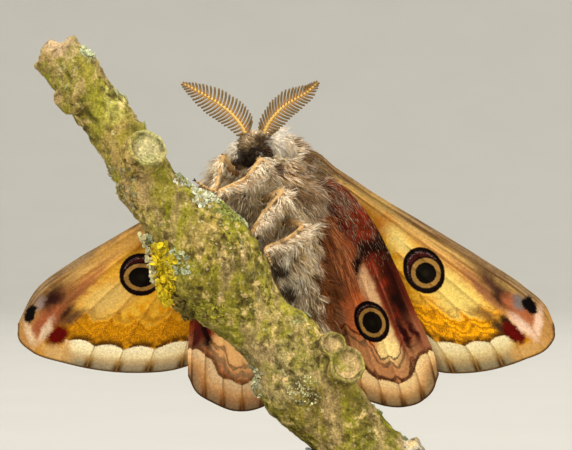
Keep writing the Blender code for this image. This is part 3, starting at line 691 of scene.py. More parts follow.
# wavy lines of the outer zone: where each lies from the zone's edge, its width and its depth
outerWaves = [(0.55, 0.30, 0.45), (-0.35, 0.40, 0.6), (-1.20, 0.40, 0.65), (-2.0, 0.34, 0.55)]


def forewingColours(g, mark):
    # ground: yellow about the eyespot with a painted glow of light through the wing, ochre towards the outer
    # zone; grey-brown on the upperside, paler under the same painted glow
    yellow = lay(step(g["wide"], 0.35, 0.65), tone(0.94, 0.64, 0.10), tone(1.0, 0.77, 0.24))
    yellow = marked(g, yellow, [(mark["glow"], mark["paintedGlowTone"]), (mark["base"], (0.72, 0.47, 0.10))])
    upper = lay(step(g["wide"], 0.3, 0.7), tone(0.44, 0.38, 0.34), tone(0.62, 0.57, 0.52))
    upper = marked(g, upper, [(mark["glow"], (0.80, 0.76, 0.70))])
    colour = eachSide(g, yellow, upper)
    # ochre outer zone with its wavy lines
    zone = mark["zone"]
    wave = swayed(sums("MULTIPLY_ADD", g["between"], 0.80, g["margin"]), g["wide"], 1.5)
    wave = swayed(wave, clouds(g["plan"], 2.6, 2.0, 0.6)[0], 0.5)
    ochre = lay(step(g["fine"], 0.42, 0.62), tone(1.12, 0.78, 0.06), tone(0.92, 0.60, 0.05))
    ochre = lay(times(step(wave, zone - 1.2, 3.0), 0.45), ochre, tone(0.56, 0.34, 0.05))
    colour = lay(step(wave, zone + 0.5, zone - 0.2), colour, eachSide(g, ochre, tone(0.46, 0.36, 0.30)))
    for place, width, depth in outerWaves:
        off = sums("ABSOLUTE", minus(wave, zone + place))
        thread = times(step(off, width * mark["blur"], width * 0.3), depth)
        thread = times(thread, step(g["fine"], 0.36, 0.52, 0.6, 1.0))
        colour = lay(thread, colour, eachSide(g, tone(0.48, 0.25, 0.04), tone(0.28, 0.20, 0.17)))
    # costal zone: grey-brown with rusty streaks along the veins
    streaks = streaksOf(g, 5.0, 46.0)
    costal = lay(step(streaks, 0.36, 0.62), tone(0.71, 0.53, 0.28), tone(0.92, 0.74, 0.43))
    rust = lay(step(streaks, 0.36, 0.64), tone(0.82, 0.53, 0.23), tone(0.95, 0.71, 0.38))
    costal = lay(step(g["lead"], 1.0, 2.4), costal, rust)
    pale = lay(step(streaks, 0.38, 0.58), tone(0.80, 0.57, 0.22), tone(1.0, 0.83, 0.47))
    costal = eachSide(g, lay(step(g["s"], 0.42, 0.18), costal, pale), tone(0.50, 0.42, 0.38))
    colour = lay(step(slantOf(g["rough"], *mark["costal"]), -0.75, 0.55), colour, costal)
    edge = lay(step(streaks, 0.35, 0.6), tone(0.44, 0.33, 0.22), tone(0.66, 0.54, 0.38))
    colour = lay(step(g["lead"], 1.05, 0.45), colour, edge)
    vein = times(step(g["vein"], 0.16, 0.02), step(g["margin"], 3.0, 7.0, 0.06, 0.30))
    colour = marked(g, lay(vein, colour, tone(0.74, 0.50, 0.24)), mark["patches"])
    colour = ocellus(g, colour, mark["eyespot"])
    band = marginBand(g, colour, mark["band"])
    colour = lay(step(slantOf(g["plan"], *mark["bandEnd"]), -1.0, 1.0), band, colour)
    colour = marked(g, colour, [(mark["apex"], (0.78, 0.57, 0.31)), *mark["apexMarks"]])
    return lay(step(g["margin"], 0.30, 0.04), colour, tone(0.42, 0.29, 0.15))


# a band's width, how far its edge bows, its dark rim, and its tones at shares of the width from the margin
bandStops = (0.0, 0.10, 0.34, 0.62, 0.95)
creamBand = {"width": 3.15, "bow": 0.38, "rim": 0.8, "rimTone": tone(0.27, 0.14, 0.04), "stops": bandStops,
             "tones": [tone(0.20, 0.12, 0.045), tone(0.34, 0.23, 0.10), tone(0.64, 0.49, 0.26),
                       tone(0.86, 0.75, 0.50), tone(0.95, 0.88, 0.68)], "thread": tone(0.62, 0.46, 0.24)}
forewingMarks = {
    "left": {
        # the first oval is painted light about the eyespot, as of sun through the wing
        "glow": (455, 290, 42, 22, -52, 0.6), "paintedGlowTone": (0.98, 0.85, 0.46),
        "base": (372, 205, 40, 14, -45, 0.6), "zone": 6.0, "blur": 0.8,
        "costal": ((345, 186), (0.62, 0.78, 0.0)),
        "eyespot": {"centre": (424.2, 270.3), "turn": -60, "radius": (24.4, 19.8), "ring": (426.2, 273.0),
                    "ringRadius": (15.4, 14.8), "pupil": 0.67},
        "patches": [((326, 175, 18, 8, -35, 0.7), (0.58, 0.45, 0.29)),
                    ((376, 200, 24, 5, -32, 1.0), (0.80, 0.65, 0.37)),
                    ((381, 227, 12, 8, 40, 0.8), (0.76, 0.44, 0.07)),
                    ((492, 284, 28, 9, -50, 0.9), (0.36, 0.23, 0.16)),
                    ((503, 298, 12, 8, -45, 0.7), (0.22, 0.13, 0.10)),
                    ((484, 314, 16, 4, -20, 0.8), (0.62, 0.44, 0.20)),
                    ((500, 328, 12, 5, -35, 0.7), (0.30, 0.20, 0.12)),
                    ((480, 288, 26, 3.4, -48, 1.0), (0.66, 0.42, 0.28)),
                    ((401, 243, 20, 8, -50, 0.8), (0.99, 0.86, 0.50)),
                    ((506, 322, 8, 5, -45, 0.6), (0.20, 0.12, 0.07))],
        "band": creamBand, "bandEnd": ((516, 345), (0.98, 0.2, 0.0)), "apex": (547, 332, 26, 15, -70, 0.7),
        "apexMarks": [((528, 351, 17, 8, 18, 0.6), (0.82, 0.63, 0.36)),
                      ((520, 311, 22, 10, -45, 0.4), (0.70, 0.40, 0.24)),
                      ((514, 333, 14, 7.5, -40, 0.25), (0.36, 0.03, 0.012)),
                      ((524, 327, 18, 4.4, -42, 0.6), (0.98, 0.82, 0.70)),
                      ((539, 322, 14, 4.0, 84, 0.7), (0.98, 0.82, 0.70)),
                      ((519, 302, 8, 6, -60, 0.6), (0.52, 0.46, 0.44)),
                      ((530, 305.5, 10, 6.2, -52, 0.2), (0.05, 0.03, 0.03))],
    },
    "right": {
        # the first oval is painted light about the eyespot, as of sun through the wing
        "glow": (108, 298, 30, 15, 25, 0.7), "paintedGlowTone": (0.94, 0.77, 0.42),
        "base": (150, 235, 30, 12, 35, 0.6), "zone": 5.4, "blur": 1.6,
        "costal": ((136, 240), (-0.72, 0.69, 0.0)),
        "eyespot": {"centre": (141, 274.5), "turn": 0, "radius": (21.5, 21.5), "ring": (141.5, 277.2),
                    "ringRadius": (17.4, 13.8), "pupil": 0.70},
        "patches": [((120, 245, 30, 7, 33, 0.8), (0.92, 0.69, 0.34)),
                    ((72, 318, 14, 5, 30, 0.7), (0.42, 0.28, 0.16)),
                    ((80, 290, 30, 4, 46, 1.0), (0.70, 0.42, 0.24)),
                    ((58, 300, 24, 12, 46, 0.9), (0.50, 0.30, 0.17))],
        "band": {**creamBand, "width": 2.75, "bow": 0.4,
                 "tones": [tone(0.22, 0.13, 0.05), tone(0.40, 0.28, 0.12), tone(0.72, 0.56, 0.32),
                           tone(1.0, 0.90, 0.66), tone(1.05, 0.98, 0.80)]},
        "bandEnd": ((66, 350), (-0.98, 0.2, 0.0)),
        "apex": (27, 338, 24, 15, 62, 0.5),
        "apexMarks": [((57, 353, 16, 8, -22, 0.6), (0.86, 0.68, 0.42)),
                      ((47, 322, 22, 10, 40, 0.5), (0.66, 0.36, 0.22)),
                      ((58, 336, 13, 9, 40, 0.4), (0.38, 0.03, 0.012)),
                      ((46, 331, 13, 4.0, 62, 0.7), (0.93, 0.80, 0.66)),
                      ((30, 334, 12, 3.4, 108, 0.8), (0.93, 0.80, 0.64)),
                      ((52, 298, 14, 8, 52, 0.7), (0.20, 0.09, 0.07)),
                      ((66, 314, 11, 3.4, 48, 0.8), (0.26, 0.14, 0.08)),
                      ((40, 304, 7, 4.4, 60, 0.6), (0.62, 0.53, 0.50)),
                      ((31, 314, 9.5, 5, 70, 0.2), (0.06, 0.04, 0.04))],
    },
}


def hindwingColours(g, mark):
    # ground: salmon with paler and browner drifts; bright orange on the upperside
    salmon = lay(step(streaksOf(g, 9.0, 80.0), 0.38, 0.62), tone(0.70, 0.29, 0.11), tone(0.90, 0.50, 0.25))
    orange = lay(step(g["wide"], 0.3, 0.7), tone(0.86, 0.44, 0.10), tone(0.95, 0.60, 0.20))
    colour = marked(g, eachSide(g, salmon, orange), mark["patches"])
    # dark wavy line and grey line inside the margin band
    wave = swayed(sums("MULTIPLY_ADD", g["between"], 0.5, g["margin"]), g["wide"], 1.1)
    wash = times(step(wave, 5.2, 4.3), mark["wash"])
    colour = lay(wash, colour, eachSide(g, tone(0.82, 0.60, 0.38), orange))
    for place, width, shade, depth in mark["waves"]:
        line = times(step(sums("ABSOLUTE", minus(wave, place)), width, width * 0.35), depth)
        colour = lay(times(line, step(g["fine"], 0.34, 0.54, 0.55, 1.0)), colour, tone(*shade))
    # wine-dark band along the leading edge, with a paler vein in it
    lead = swayed(g["lead"], g["wide"], 0.9)
    wine = lay(step(streaksOf(g, 6.0, 60.0), 0.34, 0.66), tone(0.38, 0.065, 0.04), tone(0.62, 0.19, 0.09))
    wine = lay(step(g["wide"], 0.42, 0.62), wine, tone(0.36, 0.13, 0.05))
    wine = lay(step(g["s"], 0.24, 0.06), wine, tone(0.40, 0.27, 0.19))
    fadeOut = step(g["s"], mark["bandOut"] + 0.16, mark["bandOut"] - 0.02)
    inBand = times(step(lead, mark["bandWidth"] + 0.3, mark["bandWidth"] - 0.3), fadeOut)
    colour = lay(times(inBand, 0.94), colour, wine)
    vein = times(step(g["vein"], 0.13, 0.02), 0.24)
    colour = marked(g, lay(vein, colour, tone(0.72, 0.46, 0.36)), mark["darkBlotsAndShadow"])
    colour = marginBand(g, ocellus(g, colour, mark["eyespot"]), mark["band"])
    return lay(step(g["margin"], 0.28, 0.05), colour, tone(0.36, 0.22, 0.12))


roseBand = {"width": 2.6, "bow": 0.24, "rim": 0.45, "rimTone": tone(0.30, 0.15, 0.08), "stops": bandStops,
            "tones": [tone(0.19, 0.10, 0.04), tone(0.38, 0.24, 0.11), tone(0.64, 0.43, 0.22),
                      tone(0.90, 0.68, 0.43), tone(1.0, 0.85, 0.60)], "thread": tone(0.50, 0.34, 0.16)}
hindwingWaves = [(3.0, 0.42, (0.28, 0.14, 0.08), 0.9), (3.75, 0.30, (0.74, 0.52, 0.34), 0.6),
                 (4.35, 0.24, (0.40, 0.30, 0.22), 0.8), (4.95, 0.16, (0.26, 0.14, 0.08), 0.85)]
fadedWaves = [(3.10, 0.30, (0.56, 0.36, 0.22), 0.6), (3.85, 0.40, (0.62, 0.50, 0.38), 0.7),
              (4.55, 0.24, (0.50, 0.34, 0.22), 0.7)]
hindwingMarks = {
    "left": {
        "patches": [((346, 312, 34, 13, -64, 0.8), (0.98, 0.54, 0.31)),
                    ((333, 240, 42, 11, -70, 0.7), (0.60, 0.29, 0.15)),
                    ((369, 286, 24, 9, -62, 0.6), (0.92, 0.72, 0.52)),
                    ((391, 336, 34, 7, -68, 0.6), (1.0, 0.84, 0.58)),
                    ((388, 350, 15, 11, -60, 0.35), (1.10, 0.95, 0.62)),
                    ((417, 350, 34, 9, -60, 0.7), (0.70, 0.46, 0.30)),
                    ((422, 365, 20, 12, -50, 0.7), (0.56, 0.38, 0.22))],
        "waves": hindwingWaves, "wash": 0.7, "bandWidth": 2.75, "bandOut": 0.74,
        "darkBlotsAndShadow": [((420, 336, 26, 7, -60, 0.8), (0.60, 0.36, 0.24)),
                    ((391, 274, 27, 7.5, -64, 0.8), (0.20, 0.06, 0.035)),
                    ((355, 268, 22, 6, 60, 0.6), (0.12, 0.035, 0.025)),
                    ((374, 247, 20, 9, 10, 0.8), (0.13, 0.05, 0.03)),
                    ((385, 245, 22, 6, -62, 0.7), (0.14, 0.07, 0.04)),
                    ((399, 302, 20, 7, -65, 0.7), (0.13, 0.045, 0.03)),
                    ((404, 333, 18, 3.2, -66, 0.5), (0.17, 0.04, 0.03)),
                    ((413, 330, 13, 3, -58, 0.6), (0.24, 0.07, 0.06)),
                    ((340, 222, 26, 4, -58, 0.8), (0.34, 0.09, 0.06))],
        "eyespot": {"centre": (372.2, 321.6), "turn": -63, "radius": (21.8, 16.6), "ring": (372.8, 322.4),
                    "ringRadius": (15.4, 12.6), "pupil": 0.72},
        "band": roseBand,
    },
    "right": {
        # this first patch, brighter than white, is painted light: sun shining through the wing
        "patches": [((232, 350, 34, 16, -50, 0.6), (1.25, 0.96, 0.62)),
                    ((208, 330, 9, 8, 90, 0.7), (0.62, 0.16, 0.08)),
                    ((197, 350, 30, 5, 86, 0.8), (0.62, 0.38, 0.24))],
        "waves": fadedWaves, "wash": 0.25, "bandWidth": 1.5, "bandOut": 0.70,
        "darkBlotsAndShadow": [((206, 334, 14, 5, -75, 0.5), (0.16, 0.06, 0.05)),
                    ((196, 340, 16, 4, 80, 0.6), (0.36, 0.14, 0.12))],
        "eyespot": {"centre": (246, 320), "turn": -110, "radius": (21.0, 17.0), "ring": (246, 321),
                    "ringRadius": (15.0, 13.0), "pupil": 0.72},
        # this band's tones are lighter than roseBand's: painted light through the wing
        "band": {**roseBand, "width": 2.9, "thread": tone(0.66, 0.45, 0.25), "rimTone": tone(0.50, 0.32, 0.20),
                 "tones": [tone(0.30, 0.16, 0.06), tone(0.50, 0.30, 0.13), tone(0.80, 0.51, 0.25),
                           tone(1.02, 0.76, 0.47), tone(1.1, 0.93, 0.70)]},
    },
}

wingSheets = {}
for side in ("left", "right"):
    for kind, edges, marks, colours in (("fore", forewingEdges, forewingMarks, forewingColours),
                                        ("hind", hindwingEdges, hindwingMarks, hindwingColours)):
        shape, uvMaps, fields, wingSheets[kind, side] = wingShape(edges[side], wingForm[kind])
        title = f"{kind}wing{side.capitalize()}"
        piece(title, fillMesh(title, shape, uvMaps, fields), wingFinish(title, colours, marks[side]),
              [f"{kind}wing_{side}"])


# twig: its course, needed for the feet

twigForm = {
    "line": [(-23.2, -4.8, 50.0), (-20.9, -4.8, 47.1), (-18.4, -4.7, 43.5), (-16.6, -4.6, 41.3),
             (-13.9, -4.5, 36.7), (-11.2, -4.4, 33.9), (-8.7, -4.4, 31.2), (-7.0, -4.4, 28.2),
             (-4.8, -4.4, 25.2), (-2.6, -4.3, 22.7), (0.1, -4.2, 20.2), (1.9, -4.1, 16.5),
             (4.5, -4.0, 13.5), (7.6, -3.9, 10.6), (11.2, -3.8, 7.2)],
    "radii": [2.5, 2.5, 2.5, 2.5, 2.9, 3.3, 4.4, 4.9, 4.1, 3.4, 3.8, 4.6, 3.9, 3.4, 3.3],
    "flattening": 0.78, "relief": 0.28, "foot": 9.0,
}
twigPath = sightOf(twigForm["line"])


def onTwig(share, turn, lift=0.45):
    # a place on the twig's side at a share of its length: turn 0 faces the upper right, 90 the back
    here, ahead = pathThrough(twigPath, [share, share + 0.01])
    side = unit(np.cross(unit(ahead - here), (0, 1, 0)))
    side = side * math.copysign(1.0, side[0])
    radius = valueAlong(twigForm["radii"], twigPath, share)
    angle = math.radians(turn)
    return (here + (radius + lift) * math.cos(angle) * side
            + (radius * twigForm["flattening"] + lift) * math.sin(angle) * np.array([0, 1, 0]))


# body: one skin over head, thorax, abdomen and legs

bodyForm = {
    "head": {"centre": (-3.05, 2.4, 40.0), "half": (1.85, 2.2, 2.15), "lean": 0.0},
    "patch": {"centre": (-0.85, 2.75, 40.75), "half": (1.7, 1.3, 1.15), "lean": -34.0},
    "cheek": {"centre": (-5.0, 3.3, 39.85), "half": (0.85, 1.2, 1.6), "lean": -45.0},
    "thorax": {"centre": (-1.9, 4.7, 35.8), "half": (6.0, 4.9, 5.7), "lean": 14.0},
    "collar": {"centre": (-1.6, 4.9, 38.95), "half": (4.5, 2.7, 2.75), "lean": 0.0},
    "abdomen": {"line": [(-0.9, 5.0, 33.0), (0.3, 4.9, 29.8), (1.3, 4.8, 26.8), (2.3, 4.7, 23.9),
                         (3.1, 4.6, 21.6)], "radii": [3.6, 3.5, 3.0, 2.3, 0.9]},
    "core": 0.72,   # the skin's share of each part; the fur fills the rest
    "voxel": 0.145, "eyeRadius": 0.60,
    "eyes": {"left": (-2.66, 1.34, 39.60), "right": (-4.30, 2.3, 39.5)},
    "eyeClear": {"left": 0.52, "right": 0.25},
}

legForm = {
    "radii": [0.44, 0.38, 0.30, 0.23, 0.20, 0.18, 0.16],   # hip, thigh, knee, shin, ankle, heel, foot
    "beads": 5, "beadDepth": 0.13,   # on the foot
    "lines": {
        "foreleg_left": [*sightOf([(-0.9, 2.0, 36.9), (-1.5, -0.6, 38.0), (-2.3, -1.7, 39.0),
                                   (-4.0, -2.9, 37.2)]), onTwig(0.396, 4), onTwig(0.405, 20), onTwig(0.42, 36)],
        "foreleg_right": [*sightOf([(-4.4, 2.2, 37.0), (-5.6, 0.3, 38.2), (-6.2, -1.0, 39.3),
                                    (-6.7, -2.2, 37.5)]), onTwig(0.385, 6), onTwig(0.372, 8), onTwig(0.352, 12)],
        "midleg_left": [*sightOf([(-3.0, 1.8, 34.3), (-1.8, -0.8, 35.3), (-0.4, -1.6, 35.9),
                                  (-2.2, -2.6, 33.7)]), onTwig(0.462, 6), onTwig(0.470, 22), onTwig(0.482, 38)],
        "midleg_right": [*sightOf([(-4.6, 2.2, 34.4), (-6.0, 1.6, 34.3), (-7.0, 1.2, 33.7),
                                   (-7.4, 0.9, 32.6)]), onTwig(0.45, 70), onTwig(0.462, 78), onTwig(0.48, 82)],
        "hindleg_left": [*sightOf([(-0.6, 1.8, 32.2), (0.6, -0.4, 32.8), (1.6, -1.3, 32.4),
                                   (-0.2, -2.3, 30.9)]), onTwig(0.522, 6), onTwig(0.535, 5), onTwig(0.553, 7)],
        "hindleg_right": [*sightOf([(-3.0, 2.6, 31.7), (-4.0, 1.9, 30.6), (-4.3, 1.5, 29.6),
                                    (-4.5, 1.0, 28.6)]), onTwig(0.545, 60), onTwig(0.56, 66), onTwig(0.58, 70)],
    },
}


def legPath(name, places):
    # the leg's middle line, read at shares of its length
    return pathThrough(legForm["lines"][name], places)


def legJoints(name):
    # where knee and ankle lie, as shares of the leg's length
    knots = lengthsAlong(np.array(legForm["lines"][name]))
    return knots[[2, 4]] / knots[-1]


def footWave(share, ankle):
    # a wave with one crest to each of the foot's beads
    return np.cos(math.tau * legForm["beads"] * (share - ankle) / (1 - ankle))


def legShape(name):
    # a tube whose width follows the joints; the foot has short beads
    places = np.linspace(0, 1, 90)
    ankle = legJoints(name)[1]
    radii = valueAlong(legForm["radii"], legForm["lines"][name], places)
    beads = 1 - legForm["beadDepth"] * footWave(places, ankle) * (places > ankle)
    return tubeShape(legPath(name, places), radii * beads, 14)


def coreBall(part):
    # the ellipsoid under a part's fur
    form = bodyForm[part]
    return ballShape(form["centre"], np.array(form["half"]) * bodyForm["core"], form["lean"], 28, 40)


def coreTube():
    # the tapered tube under the abdomen's fur
    form = bodyForm["abdomen"]
    places = np.linspace(0, 1, 40)
    radii = valueAlong(form["radii"], form["line"], places) * bodyForm["core"]
    return tubeShape(pathThrough(form["line"], places), radii, 28)


def inBall(points, part, grow):
    # whether points lie in a part's ellipsoid, grown by that much
    form = bodyForm[part]
    half = np.array(form["half"]) * bodyForm["core"] * grow
    local = (points - form["centre"]) @ leanTurn(form["lean"]).T / half
    return np.linalg.norm(local, axis=-1) < 1


# a mark's edge: how uneven it is by coarse and fine lumps, their sizes, and between which reaches it ends
markForm = {"uneven": ((0.20, 0.9), (0.16, 0.4)), "edge": (1.25, 0.65)}


def placedTones(points, marks, colour, seed):
    # tones laid over each other by soft ovals about named places of the photo
    for (x, y), depth, reach, shade, share in marks:
        centre = sightOf([atPhoto(x, y, depth)])[0]
        away = np.linalg.norm((points - centre) / np.array(reach), axis=-1)
        for number, (much, size) in enumerate(markForm["uneven"]):
            away = away + much * lump(points, size, seed + number)
        colour = mixed(colour, tone(*shade), share * soft(away, *markForm["edge"])[:, None])
    return colour


def coatTones(points, seed, part="thorax"):
    # the coat's ground of brown and cream, with its markings laid over it and a painted shadow between collar and
    # legs
    ground = lump(points, 2.2, seed)[:, None] * 0.5 + 0.5
    colour = mixed(tone(0.60, 0.50, 0.39), tone(0.88, 0.80, 0.67), ground)
    return placedTones(points, partMarks.get(part, coatMarks) + darkBlotsAndShadow, colour, seed + 3)


# where a tone lies: place in the photo, depth, reach in X, Y and Z, the tone and how much it covers
coatMarks = [
    ((302, 176), 3.0, (3.0, 5.0, 2.6), (0.58, 0.475, 0.36), 0.8),
    ((222, 178), 1.0, (3.0, 4.0, 3.0), (0.62, 0.53, 0.43), 0.6),
    ((240, 192), 0.0, (3.4, 4.0, 2.0), (0.74, 0.665, 0.55), 0.8),
    ((276, 214), -0.5, (2.6, 4.0, 2.0), (0.94, 0.85, 0.68), 0.8),
    ((288, 180), 1.0, (1.6, 4.0, 2.2), (0.74, 0.62, 0.46), 0.6),
    ((300, 198), 1.0, (2.6, 4.0, 0.9), (0.40, 0.30, 0.20), 0.7),
    ((318, 200), 3.0, (1.3, 5.0, 2.6), (0.58, 0.46, 0.34), 0.7),
    ((300, 248), 1.0, (2.0, 4.0, 1.6), (0.88, 0.79, 0.63), 0.8),
    ((281, 271), 1.0, (1.15, 4.0, 0.8), (0.17, 0.12, 0.08), 0.9),
    ((288, 259), 1.0, (0.8, 4.0, 1.0), (1.0, 0.97, 0.90), 0.95),
    ((299, 272), 1.0, (1.0, 4.0, 1.0), (0.92, 0.85, 0.73), 0.7),
    ((296, 284), 1.2, (1.6, 4.0, 0.9), (1.0, 0.97, 0.90), 1.0),
    ((310, 272), 2.0, (0.8, 4.0, 1.6), (0.98, 0.90, 0.76), 0.8),
    ((287, 294), 1.6, (1.1, 4.0, 0.7), (0.24, 0.175, 0.12), 0.85),
    ((304, 305), 2.0, (0.9, 4.0, 1.0), (0.98, 0.92, 0.82), 0.9),
    ((312, 318), 3.0, (1.6, 5.0, 0.9), (0.44, 0.32, 0.20), 0.8),
    ((326, 285), 5.0, (1.3, 5.0, 5.0), (0.52, 0.34, 0.20), 0.8),
    ((304, 156), 5.0, (1.6, 4.0, 0.6), (0.40, 0.28, 0.17), 0.7),
    ((298, 146), 4.5, (1.2, 4.0, 0.8), (0.62, 0.50, 0.37), 0.7),
    ((286, 153), 2.0, (1.8, 4.0, 1.0), (0.95, 0.90, 0.80), 0.9),
    ((276, 139), 3.0, (1.6, 3.4, 1.3), (1.2, 1.18, 1.17), 1.0),
    ((267, 186), -0.5, (1.3, 4.0, 1.3), (0.96, 0.89, 0.76), 0.8),
    ((230, 148), 2.5, (1.0, 3.4, 1.1), (0.90, 0.86, 0.78), 0.9),
    ((232, 166), 1.0, (1.2, 3.4, 0.9), (0.42, 0.31, 0.20), 0.8),
    ((212, 170), 1.5, (1.0, 3.4, 0.9), (0.86, 0.80, 0.70), 0.8),
    # dark under the head: painted shadow
    ((243, 161), 0.5, (1.5, 4.0, 0.6), (0.24, 0.18, 0.12), 0.9),
    # paler below it: painted light against the shade of that hollow
    ((246, 174), 0.5, (1.9, 4.0, 0.9), (0.56, 0.47, 0.36), 0.9),
    ((203, 180), 1.5, (1.2, 3.0, 1.0), (0.24, 0.18, 0.14), 0.8),
    ((334, 285), 4.0, (1.5, 6.0, 7.0), (0.48, 0.27, 0.11), 0.95),
]
# a painted shadow in the dark hollow between collar and legs
darkBlotsAndShadow = [((280, 168), -0.5, (0.38, 3.0, 1.05), (0.27, 0.165, 0.085), 0.95)]
partMarks = {
    "head": [((256, 147), 0.6, (9.0, 9.0, 9.0), (0.44, 0.36, 0.26), 1.0),
             ((244, 140), 0.6, (1.0, 3.0, 0.9), (0.54, 0.46, 0.34), 0.7),
             ((257, 129), 1.5, (1.5, 3.4, 0.7), (0.84, 0.76, 0.62), 0.9),
             ((263, 146), 0.6, (0.9, 3.0, 1.1), (0.26, 0.19, 0.12), 0.85),
             # dark below the face: dark fur and painted shadow beneath the head
             ((246, 158), 0.4, (1.7, 3.0, 0.9), (0.16, 0.12, 0.08), 0.95),
             ((257, 152), 0.4, (0.7, 3.0, 0.5), (0.17, 0.12, 0.08), 1.0),
             ((269, 154), 0.4, (0.9, 3.0, 0.6), (0.24, 0.16, 0.10), 0.8),
             ((273, 139), 1.4, (0.62, 3.4, 0.85), (0.93, 0.925, 0.94), 1.0)],
    "patch": [((277, 140), 2.5, (9.0, 9.0, 9.0), (1.22, 1.2, 1.2), 1.0),
              ((292, 146), 2.5, (0.9, 3.4, 1.5), (0.92, 0.84, 0.73), 0.9)],
    "cheek": [((231, 146), 2.5, (9.0, 9.0, 9.0), (1.0, 0.98, 0.97), 1.0),
              ((220, 158), 1.5, (0.9, 3.4, 0.9), (0.72, 0.64, 0.54), 0.8)],
}


def furFinish(name, sheen=0.06):
    # tone from the hair's own attribute, broken a little along each hair
    made, tree, shader = newFinish(name, Roughness=0.62, Specular_IOR_Level=0.10, Sheen_Weight=sheen,
                                   Sheen_Roughness=0.45)
    place = ownPlace(tree)
    shade = step(clouds(place, 2600.0)[0], 0.3, 0.7, 0.82, 1.12)
    paint(shader, shaded(ownField(tree, "coatTone", "Color"), shade))
    relief(shader, clouds(place, 5200.0)[0], 0.4, 0.03 * mm)
    return made


print("skin")
bodyMesh = remeshed("skin", joined([*map(coreBall, ("head", "thorax", "collar", "patch", "cheek")), coreTube(),
                                    *(legShape(name) for name in legForm["lines"])]), bodyForm["voxel"], 3)
skinPoints, skinNormals = readMesh(bodyMesh)


def legTones(points, colour):
    # legs: tan with an orange cast, darker along the thigh towards the hip, feet banded black and tan
    places = np.linspace(0, 1, 120)
    for name in legForm["lines"]:
        away = np.linalg.norm(points[:, None] - legPath(name, places)[None], axis=-1)
        share, ankle = places[away.argmin(1)], legJoints(name)[1]
        legTone = mixed(tone(0.88, 0.72, 0.48), tone(0.56, 0.41, 0.25), soft(share, 0.36, 0.14)[:, None])
        bands = soft(share, ankle, ankle + 0.02) * soft(footWave(share, ankle), -0.2, 0.4)
        legTone = mixed(legTone, tone(0.12, 0.08, 0.05), 0.8 * bands[:, None])
        colour = mixed(colour, legTone, soft(away.min(1), 0.75, 0.45)[:, None])
    return colour


skinShare = {"patch": 1.2}   # how light the skin is beside the coat's tone; elsewhere it is in the fur's shade
shadeShare = 0.66
skinTone = legTones(skinPoints, coatTones(skinPoints, 5) * shadeShare)
for part in partMarks:
    within = inBall(skinPoints, part, 1.08)
    skinTone[within] = coatTones(skinPoints[within], 5, part) * skinShare.get(part, shadeShare)
writeField(bodyMesh, "coatTone", fullColour(skinTone))
piece("skin", bodyMesh, furFinish("skin"),
      ["head", "thorax", "abdomen", *legForm["lines"]])


# coat

# Tufts: how many, length, width, slant at root and tip in degrees, how far locks close up, hairs to a lock,
# how loosely they lie, places along a hair, spread of tones, share of pale hairs, and the tone's share at the
# root with its rise to the tip, a painted shade at the root and painted light at the tip. What a part leaves
# out it has from tuftForm.
tuftForm = {"perLock": 30, "loose": 1.0, "steps": 4, "spread": 0.40, "pale": 0.0, "fade": (0.50, 0.66),
            "pieces": 1, "look": "fur", "slot": "fur_grey"}
coatForm = {
    "head": {"count": 9400, "length": 1.15, "width": 0.060, "slant": (50, 24), "clump": 0.55, "steps": 3,
             "spread": 0.62, "perLock": 20, "pale": 0.32, "slot": "fur_dark"},
    "patch": {"count": 4800, "length": 1.5, "width": 0.062, "slant": (12, -6), "clump": 0.45, "steps": 3,
              "spread": 0.12, "fade": (0.96, 0.14), "loose": 0.6, "look": "furWhite"},
    "cheek": {"count": 3400, "length": 0.85, "width": 0.058, "slant": (34, 8), "clump": 0.4, "steps": 3,
              "spread": 0.18, "fade": (0.84, 0.26), "look": "furWhite"},
    "collar": {"count": 9500, "length": 1.8, "width": 0.070, "slant": (48, 22), "clump": 0.55, "pale": 0.6},
    "thorax": {"count": 31000, "length": 3.1, "width": 0.066, "slant": (52, 16), "clump": 0.62, "pieces": 3,
               "pale": 0.5},
    "abdomen": {"count": 17300, "length": 2.6, "width": 0.072, "slant": (44, 8), "clump": 0.62, "pieces": 2,
                "pale": 0.62},
}
# where each part's fur lies away from, and how the coat's tones are warmed
coatSources = {"head": (-2.7, -1.5, 40.6), "collar": (-3.2, 2.0, 40.0), "thorax": (-3.4, 3.6, 43.0),
               "patch": (-2.6, 1.9, 42.0), "cheek": (-3.6, 0.5, 40.8)}
warmth = np.array([1.64, 1.52, 1.24])
# how far tufts turn aside and stand up in degrees and sway, each by itself and by its lock; the spread of
# their lengths, closings and widths; how deep they root, how far they droop and how much they thin out
tuftStray = {"turn": 13, "lockTurn": 15, "driftTurn": 16, "slant": 9, "lockSlant": 9, "sway": 0.15,
             "lockSway": 0.20, "lengths": (0.62, 1.18), "drift": 0.18, "lockLength": 0.14, "pull": (0.5, 1.3),
             "widths": (0.7, 1.3), "root": 0.12, "droop": 0.05, "thinning": 0.4, "flat": 0.6}


def ballRoots(part, count, draw):
    # evenly spread places on an ellipsoid: equal steps in height, the golden angle round, some jitter
    form = bodyForm[part]
    k = np.arange(count) + draw.uniform(-0.5, 0.5, count)
    height = 1 - (2 * np.clip(k, 0, count - 1) + 1) / count
    angle = k * math.pi * (3 - math.sqrt(5)) + draw.uniform(-0.4, 0.4, count)
    flat = np.sqrt(1 - height**2)
    local = np.stack([flat * np.cos(angle), flat * np.sin(angle), height], -1)
    half, turn = np.array(form["half"]), leanTurn(form["lean"])
    roots = (local * half * bodyForm["core"]) @ turn + form["centre"]
    unwrap = np.stack([(angle / math.tau) % 1.0, np.arccos(np.clip(height, -1, 1)) / math.pi], -1)
    return roots, unit((local / half) @ turn), unwrap


def tubeRoots(path, radii, share, angle):
    # places at a share of a path's length and an angle round it, with their normals and the way onward
    places = np.linspace(0, 1, len(path))
    middle, onward, across, back = (readAlong(share, places, rows) for rows in (path, *framesAlong(path)))
    normals = unit(np.cos(angle)[:, None] * across + np.sin(angle)[:, None] * back)
    return middle, np.interp(share, places, radii)[:, None], normals, unit(onward)


